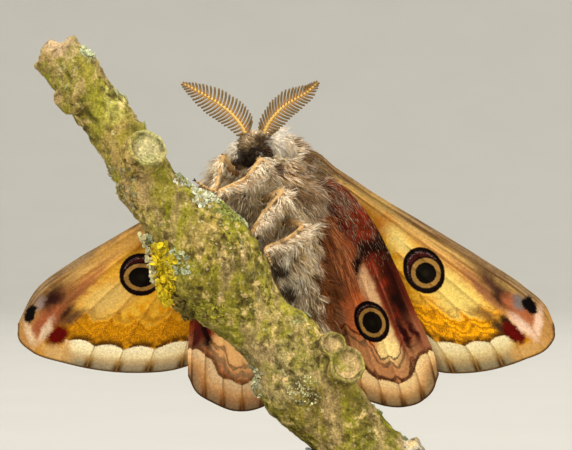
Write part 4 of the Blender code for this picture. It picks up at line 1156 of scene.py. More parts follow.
def abdomenRoots(count, draw):
    # places scattered over the abdomen; those at its tip stand out along it
    form = bodyForm["abdomen"]
    share, angle = draw.uniform(0.04, 1.0, count), draw.uniform(0, math.tau, count)
    places = np.linspace(0, 1, 60)
    radii = valueAlong(form["radii"], form["line"], places) * bodyForm["core"]
    middle, radius, normals, lies = tubeRoots(pathThrough(form["line"], places), radii, share, angle)
    roots = middle + normals * radius
    end = soft(share, 0.82, 1.0)[:, None]
    normals = unit(normals * (1 - 0.6 * end) + lies * 0.9 * end)
    return roots, normals, np.stack([angle / math.tau, share], -1), lies


hairSteps = {3: [0.0, 0.52, 1.0], 4: [0.0, 0.34, 0.70, 1.0]}
mapPatch = 0.003   # the width of a tuft's patch of its coat's map


def growTufts(roots, normals, lies, form, draw, lengths, rise=1.0):
    # each tuft leaves its root at one slant and ends at another, sways to one side, droops a little, and
    # leans to the tip of the tuft that leads its lock
    count = len(roots)
    leaders = np.arange(0, count, form["perLock"])
    own = np.concatenate([np.linalg.norm(part[:, None] - roots[leaders][None], axis=-1).argmin(1)
                          for part in np.array_split(roots, max(1, count // 800))])
    loose, stray = form["loose"], tuftStray
    lock = loose * draw.normal(0, 1, (4, len(leaders)))[:, own]
    lies = unit(lies - (lies * normals).sum(-1, keepdims=True) * normals)
    side = np.cross(lies, normals)
    turn = (stray["turn"] * loose * draw.normal(0, 1, count) + stray["lockTurn"] * lock[0]
            + stray["driftTurn"] * loose * lump(roots, 1.5, 7))
    turn = np.radians(turn)[:, None]
    lies = np.cos(turn) * lies + np.sin(turn) * side
    side = np.cross(lies, normals)
    length = lengths * draw.uniform(*stray["lengths"], count)
    length = length * (1 + stray["drift"] * lump(roots, 1.1, 9) + stray["lockLength"] * lock[1])
    length = length[:, None, None]
    slant = [angle + stray["slant"] * draw.normal(0, 1, count) + stray["lockSlant"] * lock[2]
             for angle in form["slant"]]
    slant = [np.radians(rise * angle)[:, None, None] for angle in slant]
    t = np.array(hairSteps[form["steps"]])[None, :, None]
    first, last = (np.cos(angle) * lies[:, None] + np.sin(angle) * normals[:, None] for angle in slant)
    sway = loose * draw.normal(0, stray["sway"], count) + stray["lockSway"] * lock[3]
    sway = sway[:, None, None] * side[:, None]
    bend = t * first + t**2 * (last - first) / 2 + t**2 * sway
    spines = roots[:, None] - stray["root"] * normals[:, None] + length * bend
    spines[..., 2] -= stray["droop"] * (length * t**2)[..., 0]
    pull = form["clump"] * draw.uniform(*stray["pull"], count)[:, None, None] * t**1.5
    spines = spines + pull * (spines[leaders][own] - spines)
    t = t[..., 0]
    thick = form["width"] * draw.uniform(*stray["widths"], count)[:, None]
    return spines, thick * (1 - stray["thinning"] * t**2) * (t < 1), side, own


def coatPiece(name, spines, thick, flats, unwrap, tones, form):
    # the tufts as thin rods, each with its patch of the coat's map and its tone that rises to the tip:
    # painted shade at the root, painted light at the tip
    shape, shares, corners = rodShapes(spines, thick, thick * tuftStray["flat"], flats)
    bake = unwrap[:, None] + mapPatch * np.stack([corners, shares], -1)[None]
    low, rise = form["fade"]
    colour = tones[:, None] * (low + rise * shares[None, :, None])
    colour *= np.minimum(1, furLooks[form["look"]][1] / colour.max(-1, keepdims=True))
    fields = {"coatTone": fullColour(colour).reshape(-1, 4)}
    piece(name, fillMesh(name, shape, {"OFBake": bake.reshape(-1, 2)}, fields), furLooks[form["look"]][0])


# how much a lock's and a hair's own shade weigh, how unevenly red, green and blue take them, between which
# tones of the coat pale hairs set in, and their share
hairMix = {"lock": 0.55, "own": 0.75, "balance": (0.85, 1.0, 1.35), "pale": (0.14, 0.36), "share": 0.36,
           "paleTone": tone(0.98, 0.94, 0.87) * 1.35}


def hairTones(places, own, draw, part, form):
    # the markings' tone where the hair shows, made lighter or darker by lock and by hair; some hairs are
    # pale all along, most where the coat isn't dark
    locks = draw.normal(0, 1, own.max() + 1)[own]
    change = hairMix["lock"] * locks + hairMix["own"] * draw.normal(0, 1, len(places))
    change = np.exp(form["spread"] * change)[:, None] ** np.array(hairMix["balance"])
    tones = coatTones(places, len(part), part) * warmth
    pale = soft(tones.mean(-1), *hairMix["pale"]) * (draw.uniform(0, 1, len(places)) < hairMix["share"])
    return mixed(tones * change, hairMix["paleTone"], (form["pale"] * pale)[:, None])


# the coat's materials, each with the brightest tone that it takes
furLooks = {"fur": (furFinish("fur"), 0.92), "furWhite": (furFinish("furWhite", 0.55), 0.97)}
# where chin and shoulder begin and end, how much shorter and flatter the hair is there, and the way it lies
chinFur = {"height": (37.4, 38.6), "depth": (4.2, 3.0), "middle": -3.0, "aside": (3.2, 2.0), "shorter": 0.45}
shoulderFur = {"across": (-1.2, 1.0), "height": (36.2, 38.0), "shorter": 0.45, "flatter": 0.5,
               "lies": (0.7, 0.1, -0.9)}
for part, form in coatForm.items():
    form = {**tuftForm, **form}
    draw = np.random.default_rng(len(part))
    if part == "abdomen":
        roots, normals, unwrap, lies = abdomenRoots(form["count"], draw)
        keep = ~inBall(roots, "thorax", 0.96)
    else:
        roots, normals, unwrap = ballRoots(part, form["count"], draw)
        lies = roots - np.array(coatSources[part])
        keep = ~np.any([inBall(roots, other, 0.97) for other in coatSources if other != part], axis=0)
    lengths = np.full(len(roots), form["length"])
    for side, eye in bodyForm["eyes"].items():
        away = np.linalg.norm(roots - np.array(eye), axis=-1)
        keep &= away > bodyForm["eyeClear"][side]
        if side == "left":
            lengths *= 0.60 + 0.40 * soft(away, 0.60, 1.20)
    lies = lies + draw.normal(0, 0.12, lies.shape)
    # short under the chin; shorter and flatter over the shoulder, where the coat lies on the wing
    chin = (soft(roots[:, 2], *chinFur["height"]) * soft(roots[:, 1], *chinFur["depth"])
            * soft(np.abs(roots[:, 0] - chinFur["middle"]), *chinFur["aside"]))
    lengths *= 1 - chinFur["shorter"] * chin * (part in ("thorax", "collar"))
    shoulder = (soft(roots[:, 0], *shoulderFur["across"]) * soft(roots[:, 2], *shoulderFur["height"])
                * (part == "thorax"))
    lies = unit(unit(lies) + shoulder[:, None] * np.array(shoulderFur["lies"]))
    lengths = lengths * (1 - shoulderFur["shorter"] * shoulder)
    roots, normals, unwrap, lies, lengths, shoulder = (
        rows[keep] for rows in (roots, normals, unwrap, lies, lengths, shoulder))
    rise = 1 - shoulderFur["flatter"] * shoulder
    spines, thick, flats, own = growTufts(roots, normals, lies, form, draw, lengths, rise)
    rows = spines, thick, flats, unwrap, hairTones(spines[:, -2], own, draw, part, form)
    split = np.argsort(unwrap[:, 0], kind="stable")
    for number, chosen in enumerate(np.array_split(split, form["pieces"])):
        title = f"coat{part.capitalize()}" + ("ABC"[number] if form["pieces"] > 1 else "")
        coatPiece(title, *(row[chosen] for row in rows), form)


# hair on the wings' bases

grizzled, sandy = ((0.60, 0.49, 0.36), (0.88, 0.78, 0.62)), ((0.60, 0.44, 0.26), (0.80, 0.64, 0.44))
frosted = (0.52, 0.37, 0.28), (0.86, 0.77, 0.64)
russet, brown = ((0.70, 0.34, 0.14), (1.06, 0.76, 0.48)), ((0.58, 0.38, 0.24), (0.80, 0.66, 0.50))
wingFur = {   # wing, face, hairs, how far out and between which lines they root, length, width, the two tones
    "ForewingLeftFront": ("fore", "left", 1, 1900, 0.20, (0.0, 0.7), 1.9, 0.048, grizzled),
    "HindwingLeftFront": ("hind", "left", 1, 4600, 0.44, (0.44, 1.0), 4.4, 0.034, russet),
    "HindwingLeftFrost": ("hind", "left", 1, 7000, 0.50, (0.0, 0.60), 1.4, 0.030, frosted),
    "ForewingRightFront": ("fore", "right", 1, 1200, 0.22, (0.0, 1.0), 2.4, 0.046, grizzled),
    "HindwingRightFront": ("hind", "right", 1, 1800, 0.40, (0.0, 1.0), 2.8, 0.046, brown),
    "ForewingLeftBack": ("fore", "left", -1, 1200, 0.22, (0.0, 1.0), 2.4, 0.056, grizzled),
    "HindwingLeftBack": ("hind", "left", -1, 1000, 0.30, (0.0, 1.0), 2.6, 0.056, sandy),
    "ForewingRightBack": ("fore", "right", -1, 1200, 0.22, (0.0, 1.0), 2.4, 0.056, grizzled),
    "HindwingRightBack": ("hind", "right", -1, 1000, 0.30, (0.0, 1.0), 2.6, 0.056, sandy),
}


def wingHair(kind, side, face, count, out, lines, length, width, shades, draw):
    # hairs rooted on one face of a wing near its base. They run outwards along the wing and grow fewer
    # and shorter with distance; the frost is finer, denser at the base and less drawn together
    middle, normal = wingSheets[kind, side]
    frost = shades is frosted
    s = out * draw.uniform(0, 1, count) ** (3.0 if frost else 1.9)
    t = draw.uniform(max(0.01, lines[0]), min(0.99, lines[1]), count)
    r, c = (s * (middle.shape[0] - 1)).astype(int), (t * (middle.shape[1] - 1)).astype(int)
    onward = unit(np.gradient(middle, axis=0))[r, c]
    up = normal[r, c] * face
    lies = unit(onward + 0.10 * draw.normal(0, 1, onward.shape))
    form = {**tuftForm, "width": width, "slant": (14, -2), "clump": 0.1 if frost else 0.3, "loose": 0.24,
            "steps": 3 if length < 2 else 4, "slot": f"{kind}wing"}
    lengths = length * (1 - 0.45 * s / out) * (1 if kind == "hind" else 0.5 + 0.5 * soft(t, 0.0, 0.3))
    roots = middle[r, c] + up * wingForm["membrane"] / 2
    spines, thick, flats, own = growTufts(roots, up, lies, form, draw, lengths)
    share = draw.uniform(0, 1, (count, 1)) ** (1.5 if frost else 1.3) * (1 - 0.55 * s / out)[:, None]
    tones = mixed(*(tone(*shade) for shade in shades), share) * 1.3 * np.exp(0.25 * draw.normal(0, 1, (count, 1)))
    return spines, thick, flats, np.stack([t, s], -1), tones, form


for number, (name, spec) in enumerate(wingFur.items()):
    coatPiece(f"coat{name}", *wingHair(*spec, np.random.default_rng(90 + number)))


# legs' fur and claws

legFur = {**tuftForm, "count": {"left": 1750, "right": 1100}, "short": {"left": 1500, "right": 1100},
          "length": 2.3, "width": 0.058, "slant": (20, 6), "clump": 0.5, "fade": (0.84, 0.32), "slot": "fur_tan",
          "flatLength": 0.44, "flatWidth": 0.85, "hang": (0.75, 0.25, -0.65), "paleShare": 0.78, "spread": 0.24,
          # pale, brown, and the short tan hair
          "tones": ((1.0, 0.93, 0.81), (0.60, 0.49, 0.35), (0.86, 0.70, 0.48))}
rightForeleg = {"hang": (-0.6, 0.3, -0.7), "shorter": 0.62}   # its hair hangs the other way


def legCoat(name, draw):
    # long pale hair on the lower side of thigh and shin, hanging back, and short flat hair all round
    count, short = (legFur[key][name.split("_")[1]] for key in ("count", "short"))
    knee, ankle = legJoints(name)
    share = np.concatenate([draw.uniform(0.04, ankle * 0.97, count), draw.uniform(0.03, ankle * 1.05, short)])
    places = np.linspace(0, 1, 90)
    angle = draw.uniform(0, math.tau, count + short)
    radii = valueAlong(legForm["radii"], legForm["lines"][name], places)
    middle, radius, normals, onward = tubeRoots(legPath(name, places), radii, share, angle)
    other = rightForeleg if name == "foreleg_right" else {}
    hang = unit(np.array(other.get("hang", legFur["hang"])))
    long = (np.arange(count + short) < count)[:, None]
    lowered = unit(np.cross(onward, np.cross(hang, onward)) + 0.55 * draw.normal(0, 1, normals.shape))
    normals = unit(np.where(long, lowered - (lowered * onward).sum(-1, keepdims=True) * onward, normals))
    lies = unit(np.where(long, hang + 0.2 * onward, onward))
    hairs = legFur["length"] * np.interp(share, [0, knee * 0.8, knee, knee + 0.06, ankle],
                                         [0.75, 0.8, 0.5, 1.0, 0.42])
    lengths = np.where(long[:, 0], hairs * other.get("shorter", 1.0), legFur["flatLength"])
    spines, thick, flats, own = growTufts(middle + normals * radius * 0.96, normals, lies, legFur, draw, lengths)
    thick = thick * np.where(long, 1.0, legFur["flatWidth"])
    pale, brown, tan = (tone(*shade) for shade in legFur["tones"])
    hair = np.where(draw.uniform(0, 1, long.shape) < legFur["paleShare"], pale, brown)
    change = draw.normal(0, 1, len(share)) + draw.normal(0, 1, own.max() + 1)[own]
    change = np.exp(legFur["spread"] * change)[:, None]
    # the painted shadow between collar and legs darkens the legs' hair there too
    tones = placedTones(spines[:, 2], darkBlotsAndShadow, np.where(long, hair, tan * 0.48), 25) * change * 2.2
    return spines, thick, flats, np.stack([angle / math.tau, share], -1), tones, legFur


for number, name in enumerate(legForm["lines"]):
    title = "coat" + "".join(word.capitalize() for word in name.split("_"))
    coatPiece(title, *legCoat(name, np.random.default_rng(40 + number)))


clawForm = {"length": 0.46, "apart": 0.35, "hook": 0.20, "back": 0.5,
            "thick": (0.09, 0.085, 0.07, 0.055, 0.035, 0.0)}


def clawShapes():
    # two small curved hooks at the end of each foot
    spines, flats = [], []
    for name in legForm["lines"]:
        end, before = legPath(name, [1.0, 0.97])
        onward = unit(end - before)
        across = unit(np.cross(onward, (0, 1, 0)))
        down = np.cross(across, onward)
        t = np.linspace(0, 1, len(clawForm["thick"]))[:, None]
        hook = clawForm["hook"] * t**2 * (down - onward * clawForm["back"])
        for turn in (1, -1):
            spines.append(end + clawForm["length"] * t * (onward + clawForm["apart"] * turn * across) + hook)
            flats.append(across)
    spines = np.array(spines)
    thick = np.ones((len(spines), 1)) * np.array(clawForm["thick"])
    return rodShapes(spines, thick, thick, np.array(flats), 6)[0]


clawFinish, tree, shader = newFinish("claw", Roughness=0.3)
paint(shader, lay(clouds(ownPlace(tree), 900.0)[0], tone(0.10, 0.05, 0.03), tone(0.24, 0.13, 0.07)))
piece("claws", fillMesh("claws", clawShapes()), clawFinish)


# eyes

def eyeFinish():
    # compound eye: small domes all over with dark seams; its grey-brown is lighter than the dark eye itself,
    # a painted dull glint
    made, tree, shader = newFinish("compoundEye", Roughness=0.46, Coat_Weight=0.12, Coat_Roughness=0.34)
    place = ownPlace(tree)
    cells = add(tree, "ShaderNodeTexVoronoi", {"Vector": place, "Scale": 9000.0, "Randomness": 0.25}).outputs
    shade = lay(clouds(place, 1400.0)[0], tone(0.30, 0.275, 0.24), tone(0.52, 0.48, 0.43))
    paint(shader, lay(step(cells["Distance"], 0.3, 0.7), shade, tone(0.05, 0.045, 0.05)))
    relief(shader, minus(1.0, cells["Distance"]), 0.5, 0.02 * mm)
    return made


eyeLook = eyeFinish()
for side, centre in bodyForm["eyes"].items():
    ball = ballShape(centre, np.full(3, bodyForm["eyeRadius"]), 0.0, 28, 40)
    piece(f"eye{side.capitalize()}", fillMesh("eye", ball), eyeLook, [f"eye_{side}"])


# antennae

antennaForm = {
    "stalk": (0.22, 0.12), "joint": 0.07, "rays": 23, "from": 0.05, "to": 0.975,
    # rods: thickness, its loss to the end and its share along and across the stalk; how they bend on, in
    # and to the front; how far the second of a joint leans and lies behind the first; what the finish reads
    # at a rod's root; spread of lengths
    "thick": 0.165, "thinning": 0.25, "section": (0.8, 1.25), "curve": 0.26, "inward": 0.3, "forward": 0.3,
    "lean": 0.12, "behind": 0.16, "rodStart": 0.1, "lengths": (0.96, 1.04),
    "steps": (0.0, 0.2, 0.4, 0.6, 0.8, 0.97, 1.0),
    # along the stalk: the rods' length above and below it, and how far they lean to the tip
    "combs": {"left": {"upper": [0.90, 1.10, 1.32, 1.48, 1.50, 1.42, 1.20, 0.90, 0.55, 0.16],
                       "lower": [0.95, 1.20, 1.42, 1.52, 1.52, 1.42, 1.22, 0.95, 0.60, 0.18],
                       "upperSweep": [0.75, 0.62, 0.55, 0.52, 0.50, 0.58, 0.72, 0.95],
                       "lowerSweep": [-0.22, -0.14, -0.06, 0.05, 0.20, 0.42, 0.68, 0.95]},
              "right": {"upper": [1.30, 1.62, 1.64, 1.60, 1.52, 1.40, 1.15, 0.86, 0.50, 0.14],
                        "lower": [0.70, 1.10, 1.45, 1.66, 1.74, 1.62, 1.38, 1.05, 0.66, 0.18],
                        "upperSweep": [0.62, 0.36, 0.18, 0.12, 0.16, 0.34, 0.55, 0.85],
                        "lowerSweep": [-0.42, -0.20, -0.06, 0.04, 0.14, 0.34, 0.62, 0.95]}},
    "lines": {"left": [(-2.4, 2.4, 41.0), (-1.9, 2.1, 42.4), (-1.2, 1.8, 43.4), (-0.2, 1.6, 44.4),
                       (0.9, 1.4, 45.1), (2.1, 1.3, 45.8), (3.2, 1.2, 46.8)],
              "right": [(-3.8, 2.4, 41.1), (-4.5, 2.3, 42.5), (-5.4, 2.3, 43.6), (-6.8, 2.4, 44.7),
                        (-8.3, 2.5, 45.6), (-9.4, 2.6, 46.2), (-10.4, 2.7, 46.7)]},
}


def antennaShape(line, form, comb, draw):
    # a stalk with faint joints, and on both sides a comb of thin rods, two to a joint, that sweep and
    # bend towards the tip; the second rod of each joint lies a little behind the first
    path = sightOf(line)
    places = np.linspace(0, 1, 150)
    stalk = 1 + form["joint"] * np.cos(math.tau * form["rays"] * places)
    stalk = np.interp(places, [0, 1], form["stalk"]) * stalk
    stalk *= soft(places, 1.08, 0.93)
    stem = tubeShape(pathThrough(path, places), stalk, 12)
    share = np.repeat(np.linspace(form["from"], form["to"], form["rays"]), 4)
    turn = np.tile([1, -1, 1, -1], form["rays"])[:, None]
    behind = np.tile([0, 0, 1, 1], form["rays"])[:, None]
    roots, before = pathThrough(path, share), pathThrough(path, share - 0.01)
    onward = unit(roots - before)
    across = unit(np.cross(onward, (0, 1, 0)))
    rising = (turn * across)[:, 2] > 0
    tables = [np.where(rising, *(np.interp(share, np.linspace(0, 1, len(comb[key])), comb[key]) for key in pair))
              for pair in (("upper", "lower"), ("upperSweep", "lowerSweep"))]
    length = (tables[0] * draw.uniform(*form["lengths"], len(share)))[:, None, None]
    lie = unit(turn * across + tables[1][:, None] * onward + form["lean"] * behind * np.array([0, 1, 0]))
    t = np.array(form["steps"])[None, :, None]
    bend = onward - form["inward"] * turn * across - form["forward"] * np.array([0, 1, 0])
    spines = roots[:, None] + length * (t * lie[:, None] + form["curve"] * t**2 * bend[:, None])
    spines[..., 1] += form["behind"] * behind
    thick = form["thick"] * (1 - form["thinning"] * t[..., 0]) * np.ones((len(share), 1))
    thick[:, -1] = 0
    rods, shares, _ = rodShapes(spines, *(thick * part for part in form["section"]), onward, 5)
    reach = form["rodStart"] + (1 - form["rodStart"]) * np.tile(shares, len(spines))
    return joined([stem, rods]), np.concatenate([np.zeros(len(stem[0])), reach])


def antennaFinish():
    # golden stalk; the rods start orange-brown and end dark
    made, tree, shader = newFinish("antenna", Roughness=0.5)
    reach = ownField(tree, "rayReach", "Fac")
    fine = clouds(ownPlace(tree), 2200.0)[0]
    gold = lay(fine, tone(0.94, 0.75, 0.34), tone(1.0, 0.87, 0.52))
    rods = lay(step(reach, 0.15, 0.60), tone(0.74, 0.52, 0.20), tone(0.50, 0.38, 0.16))
    paint(shader, lay(step(reach, 0.02, 0.08), gold, rods))
    relief(shader, fine, 0.5, 0.03 * mm)
    return made


antennaLook = antennaFinish()
for number, (side, line) in enumerate(antennaForm["lines"].items()):
    shape, reach = antennaShape(line, antennaForm, antennaForm["combs"][side], np.random.default_rng(60 + number))
    mesh = fillMesh("antenna", shape, None, {"rayReach": reach})
    piece(f"antenna{side.capitalize()}", mesh, antennaLook, [f"antenna_{side}"])


# twig: bark, knots and lichens

stumpForm = {   # start and end of the middle line, radius at both, and whether the end is a sawn face
    "brokenTip": ((-22.2, -4.8, 49.0), (-24.2, -5.0, 50.2), 1.6, 1.1, False),
    "brokenLobe": ((-21.6, -4.8, 48.6), (-22.3, -4.6, 50.7), 1.4, 1.0, False),
    "bud": ((-20.4, -4.7, 48.2), (-19.3, -4.9, 49.3), 1.1, 0.9, False),
    "swelling": ((-20.6, -4.8, 45.6), (-22.0, -7.2, 44.9), 2.0, 1.5, False),
    "sawnHigh": ((-15.2, -4.7, 38.6), (-13.8, -7.5, 40.2), 2.3, 2.0, True),
    "sawnSmall": ((3.6, -4.4, 19.8), (4.8, -7.9, 20.6), 1.6, 1.25, True),
    "sawnLow": ((4.6, -4.2, 17.6), (6.2, -7.6, 18.6), 2.2, 1.85, True),
    "flake": ((-1.0, -4.3, 16.8), (-3.1, -4.8, 16.2), 1.4, 0.7, False),
    "lowStub": ((11.0, -4.0, 8.9), (13.5, -4.6, 10.3), 1.5, 1.2, False),
}
# grain: the way the wood runs, and how much longer the wrinkles are that way; then the bark's darkening in
# its hollows, a painted shade: between which depths it sets in, and how much
barkForm = {"voxel": 0.18, "rings": 260, "sides": 72, "wrinkle": 0.10, "crust": 0.10, "pit": 0.16,
            "slot": 0.22, "grain": (0.62, 0.0, -0.78), "stretch": 0.80, "hollowShade": (0.02, -0.22),
            "hollowShadeStrength": 0.62, "ground": (0.60, 0.55, 0.20)}
# the bark's zones and, over all else, the marks on its sawn faces, given as the coat's marks are
barkMarks = [
    ((280, 372), -8, (4.5, 9, 3.4), (0.62, 0.55, 0.36), 0.8),
    ((330, 410), -8, (4.0, 9, 3.2), (0.52, 0.45, 0.14), 0.8),
    ((375, 425), -6, (2.6, 9, 4.0), (0.48, 0.48, 0.10), 0.8),
    ((272, 315), -8, (3.2, 9, 2.6), (0.66, 0.62, 0.20), 0.8),
    ((215, 285), -8, (3.4, 9, 2.4), (0.50, 0.45, 0.12), 0.8),
    ((215, 240), -9, (4.0, 9, 2.8), (0.66, 0.56, 0.28), 0.75),
    ((238, 222), -8, (1.6, 9, 2.0), (0.62, 0.61, 0.14), 0.8),
    ((172, 200), -8, (2.2, 9, 3.6), (0.54, 0.51, 0.07), 0.85),
    ((195, 190), -6, (1.5, 9, 2.4), (0.60, 0.58, 0.14), 0.8),
    ((135, 180), -8, (1.7, 9, 3.6), (0.68, 0.56, 0.32), 0.8),
    ((118, 145), -8, (1.8, 9, 3.0), (0.70, 0.59, 0.32), 0.8),
    ((100, 105), -8, (2.0, 9, 2.8), (0.66, 0.62, 0.22), 0.8),
    ((115, 95), -6, (1.2, 9, 3.0), (0.74, 0.71, 0.36), 0.7),
    ((66, 103), -8, (1.8, 9, 1.8), (0.56, 0.47, 0.24), 0.8),
    ((62, 78), -8, (1.7, 9, 1.6), (0.60, 0.57, 0.22), 0.8),
    ((92, 52), -6, (1.2, 9, 0.9), (0.80, 0.80, 0.60), 0.8),
    ((60, 46), -6, (2.4, 9, 1.1), (0.85, 0.72, 0.56), 0.9),
    ((42, 60), -6, (1.3, 9, 1.4), (0.72, 0.60, 0.38), 0.8),
    ((418, 446), -5, (1.8, 5, 1.4), (0.84, 0.80, 0.70), 0.9),
]
faceMarks = [((151, 146), -8, (1.7, 4, 1.9), (0.78, 0.76, 0.54), 0.75),
             ((168, 182), -8, (2.4, 5, 2.4), (0.58, 0.53, 0.20), 0.5),
             ((348, 416), -6, (3.4, 7, 2.4), (0.50, 0.43, 0.17), 0.6)]


# a sawn face: how near to it and how far out the wood belongs to it; how deep its middle sinks and between
# which reaches; where its lip rises, how wide and how high; its rings' height and closeness; how rough it is,
# how much of its tones it takes, and where its crack runs, how wide and how dark
faceForm = {"near": (0.55, 0.25), "out": (1.20, 1.06), "sink": 0.42, "sinkAt": (0.84, 0.72),
            "lip": (0.96, 0.10), "lipHeight": 0.12, "ring": 0.04, "rings": 26, "rough": 0.05, "share": 0.85,
            "rim": (0.92, 0.14), "crack": (0.80, 0.06), "crackDark": 0.88}


def knotField(points):
    # how far each point lies on a sawn face: 1 on the face, and its distance from the face's middle
    face, reach, push = np.zeros(len(points)), np.ones(len(points)), np.zeros((len(points), 3))
    for start, end, low, high, sawn in stumpForm.values():
        if not sawn:
            continue
        start, end = sightOf([start, end])
        axis = unit(end - start)
        off = points - end
        along = off @ axis
        radial = np.linalg.norm(off - along[:, None] * axis, axis=-1) / high
        on = soft(np.abs(along), *faceForm["near"]) * soft(radial, *faceForm["out"])
        rings = (-faceForm["sink"] * soft(radial, *faceForm["sinkAt"])
                 + faceForm["lipHeight"] * groove(radial, *faceForm["lip"])
                 + faceForm["ring"] * np.sin(radial * faceForm["rings"]))
        push += (on * rings)[:, None] * axis
        reach = np.where(on > face, radial, reach)
        face = np.maximum(face, on)
    return face, reach, push


def groove(reach, middle, width):
    # a ring about a sawn face's middle: 1 at that reach, falling off as a bell
    return np.exp(-((reach - middle) / width) ** 2)


def barkMesh():
    # stem and stumps melted into one, then moved along the normals: broad swellings, long wrinkles,
    # a grainy crust and pits; rings on the sawn faces
    places = np.linspace(0, 1, barkForm["rings"])
    radii = valueAlong(twigForm["radii"], twigPath, places)
    shells = [tubeShape(pathThrough(twigPath, places), radii, barkForm["sides"], twigForm["flattening"])]
    for start, end, low, high, _ in stumpForm.values():
        first, last = sightOf([start, end])
        line = first + np.linspace(0, 1, 14)[:, None] * (last - first)
        shells.append(tubeShape(line, np.linspace(low, high, 14), 40))
    mesh = remeshed("twigBark", joined(shells), barkForm["voxel"], 3)
    points, normals = readMesh(mesh)
    axis = unit(np.array(barkForm["grain"]))
    stretched = points - barkForm["stretch"] * (points @ axis)[:, None] * axis
    face, reach, push = knotField(points)
    bare = 1 - face
    broad = twigForm["relief"] * (0.75 * lump(points, 3.0, 1) + 0.5 * lump(points, 1.2, 2))
    wrinkle = barkForm["wrinkle"] * (lump(stretched, 0.50, 3) + 0.6 * lump(stretched, 0.26, 4))
    crust = barkForm["crust"] * (lump(points, 0.42, 5) + 0.6 * lump(points, 0.24, 6))
    crust *= 0.4 + 0.6 * soft(lump(points, 3.2, 8), -0.3, 0.4)
    pit = (-barkForm["pit"] * soft(lump(points, 0.8, 11), 0.35, 0.75)
           - barkForm["slot"] * soft(lump(stretched, 1.1, 12), 0.55, 0.80))
    moved = points + normals * (bare * (broad + wrinkle + crust + pit))[:, None] + push
    moved += normals * (face * faceForm["rough"] * lump(points, 0.5, 14))[:, None]
    placePoints(mesh, moved)
    # painted shade: the bark darkens where it sinks into wrinkles, crust and pits
    hollowShade = soft(wrinkle + crust + pit, *barkForm["hollowShade"])
    colour = placedTones(points, barkMarks, tone(*barkForm["ground"]) + np.zeros((len(points), 3)), 21)
    colour = colour * (1 - barkForm["hollowShadeStrength"] * hollowShade[:, None])
    moss = soft(lump(points, 0.8, 16), 0.0, 0.7)[:, None]
    wood = mixed(tone(0.86, 0.72, 0.50), tone(0.62, 0.58, 0.22), moss)
    cut = mixed(wood, tone(0.64, 0.61, 0.28), groove(reach, *faceForm["rim"])[:, None])
    colour = placedTones(points, faceMarks, mixed(colour, cut, faceForm["share"] * face[:, None]), 22)
    crack = face * groove(reach, *faceForm["crack"]) * soft(lump(points, 0.9, 17), -0.8, -0.1)
    colour = colour * (1 - faceForm["crackDark"] * crack[:, None])
    writeField(mesh, "barkTone", fullColour(colour))
    writeField(mesh, "barkFace", face)
    shape = bmesh.new()
    shape.from_mesh(mesh)
    geometry = shape.verts[:] + shape.edges[:] + shape.faces[:]
    foot = Vector((0, 0, twigForm["foot"] * mm))
    cutEdges = bmesh.ops.bisect_plane(shape, geom=geometry, plane_co=foot, plane_no=(0, 0, -1), clear_outer=True)
    bmesh.ops.holes_fill(shape, edges=[e for e in cutEdges["geom_cut"] if isinstance(e, bmesh.types.BMEdge)])
    shape.to_mesh(mesh)
    shape.free()
    return mesh


def barkFinish():
    # the zone's tone, broken by green algae, grey-pink bare bark, dark pores, pale crumbs and pale flecks;
    # the pits sunk in the relief are darkened as painted shade
    made, tree, shader = newFinish("bark", Roughness=0.88, Specular_IOR_Level=0.25)
    place = ownPlace(tree)
    turned = add(tree, "ShaderNodeMapping", {"Vector": place, "Rotation": (0.0, math.radians(-38.5), 0.0),
                                             "Scale": (1.0, 1.0, 0.28)}).outputs[0]
    face = ownField(tree, "barkFace", "Fac")
    patch, fine = clouds(place, 330.0, 4.0, 0.6)[0], clouds(place, 1500.0, 4.0, 0.65)[0]
    fibre, grain = clouds(turned, 1900.0, 3.0, 0.6)[0], clouds(place, 4600.0, 2.0, 0.6)[0]
    hollow = clouds(vectors("ADD", place, (0.031, 0.0, 0.017)), 1150.0, 3.0, 0.6)[0]
    algae = lay(fine, tone(0.34, 0.34, 0.03), tone(0.66, 0.64, 0.12))
    bare = lay(fibre, tone(0.38, 0.28, 0.12), tone(0.80, 0.68, 0.48))
    green = times(step(patch, 0.47, 0.60), times(sums("MULTIPLY_ADD", face, -0.7, 1.0), 0.55))
    spread = times(step(clouds(turned, 520.0, 3.0, 0.6)[0], 0.50, 0.62), 0.65)
    pores = times(step(clouds(place, 800.0, 5.0, 0.6)[0], 0.48, 0.34), 0.5)
    crumbs = step(clouds(place, 1900.0, 3.0, 0.6)[0], 0.56, 0.70)
    crumbs = times(crumbs, step(patch, 0.60, 0.42, 0.10, 0.60))
    zones = step(clouds(place, 240.0)[0], 0.40, 0.58, 0.15, 1.0)
    zones = times(zones, sums("MULTIPLY_ADD", face, -0.6, 1.0))
    pitShade = times(step(hollow, 0.48, 0.39), times(zones, 0.80))
    flecks = times(step(hollow, 0.54, 0.64), times(zones, 0.75))
    colour = ownField(tree, "barkTone", "Color")
    for mask, over in ((green, algae), (spread, bare), (pores, tone(0.20, 0.16, 0.07)),
                       (crumbs, tone(0.82, 0.78, 0.54)), (pitShade, tone(0.26, 0.19, 0.05)),
                       (flecks, tone(0.88, 0.75, 0.50))):
        colour = lay(mask, colour, over)
    shade = times(step(fibre, 0.3, 0.7, 0.90, 1.25), step(grain, 0.34, 0.66, 0.78, 1.36))
    paint(shader, shaded(colour, shade))
    height = plus(plus(plus(fine, times(fibre, 0.7)), times(hollow, 1.6)), times(grain, 0.5))
    relief(shader, height, 0.9, 0.14 * mm)
    return made


print("twig")
twigMesh = barkMesh()
piece("twigBark", twigMesh, barkFinish(), ["twig"])

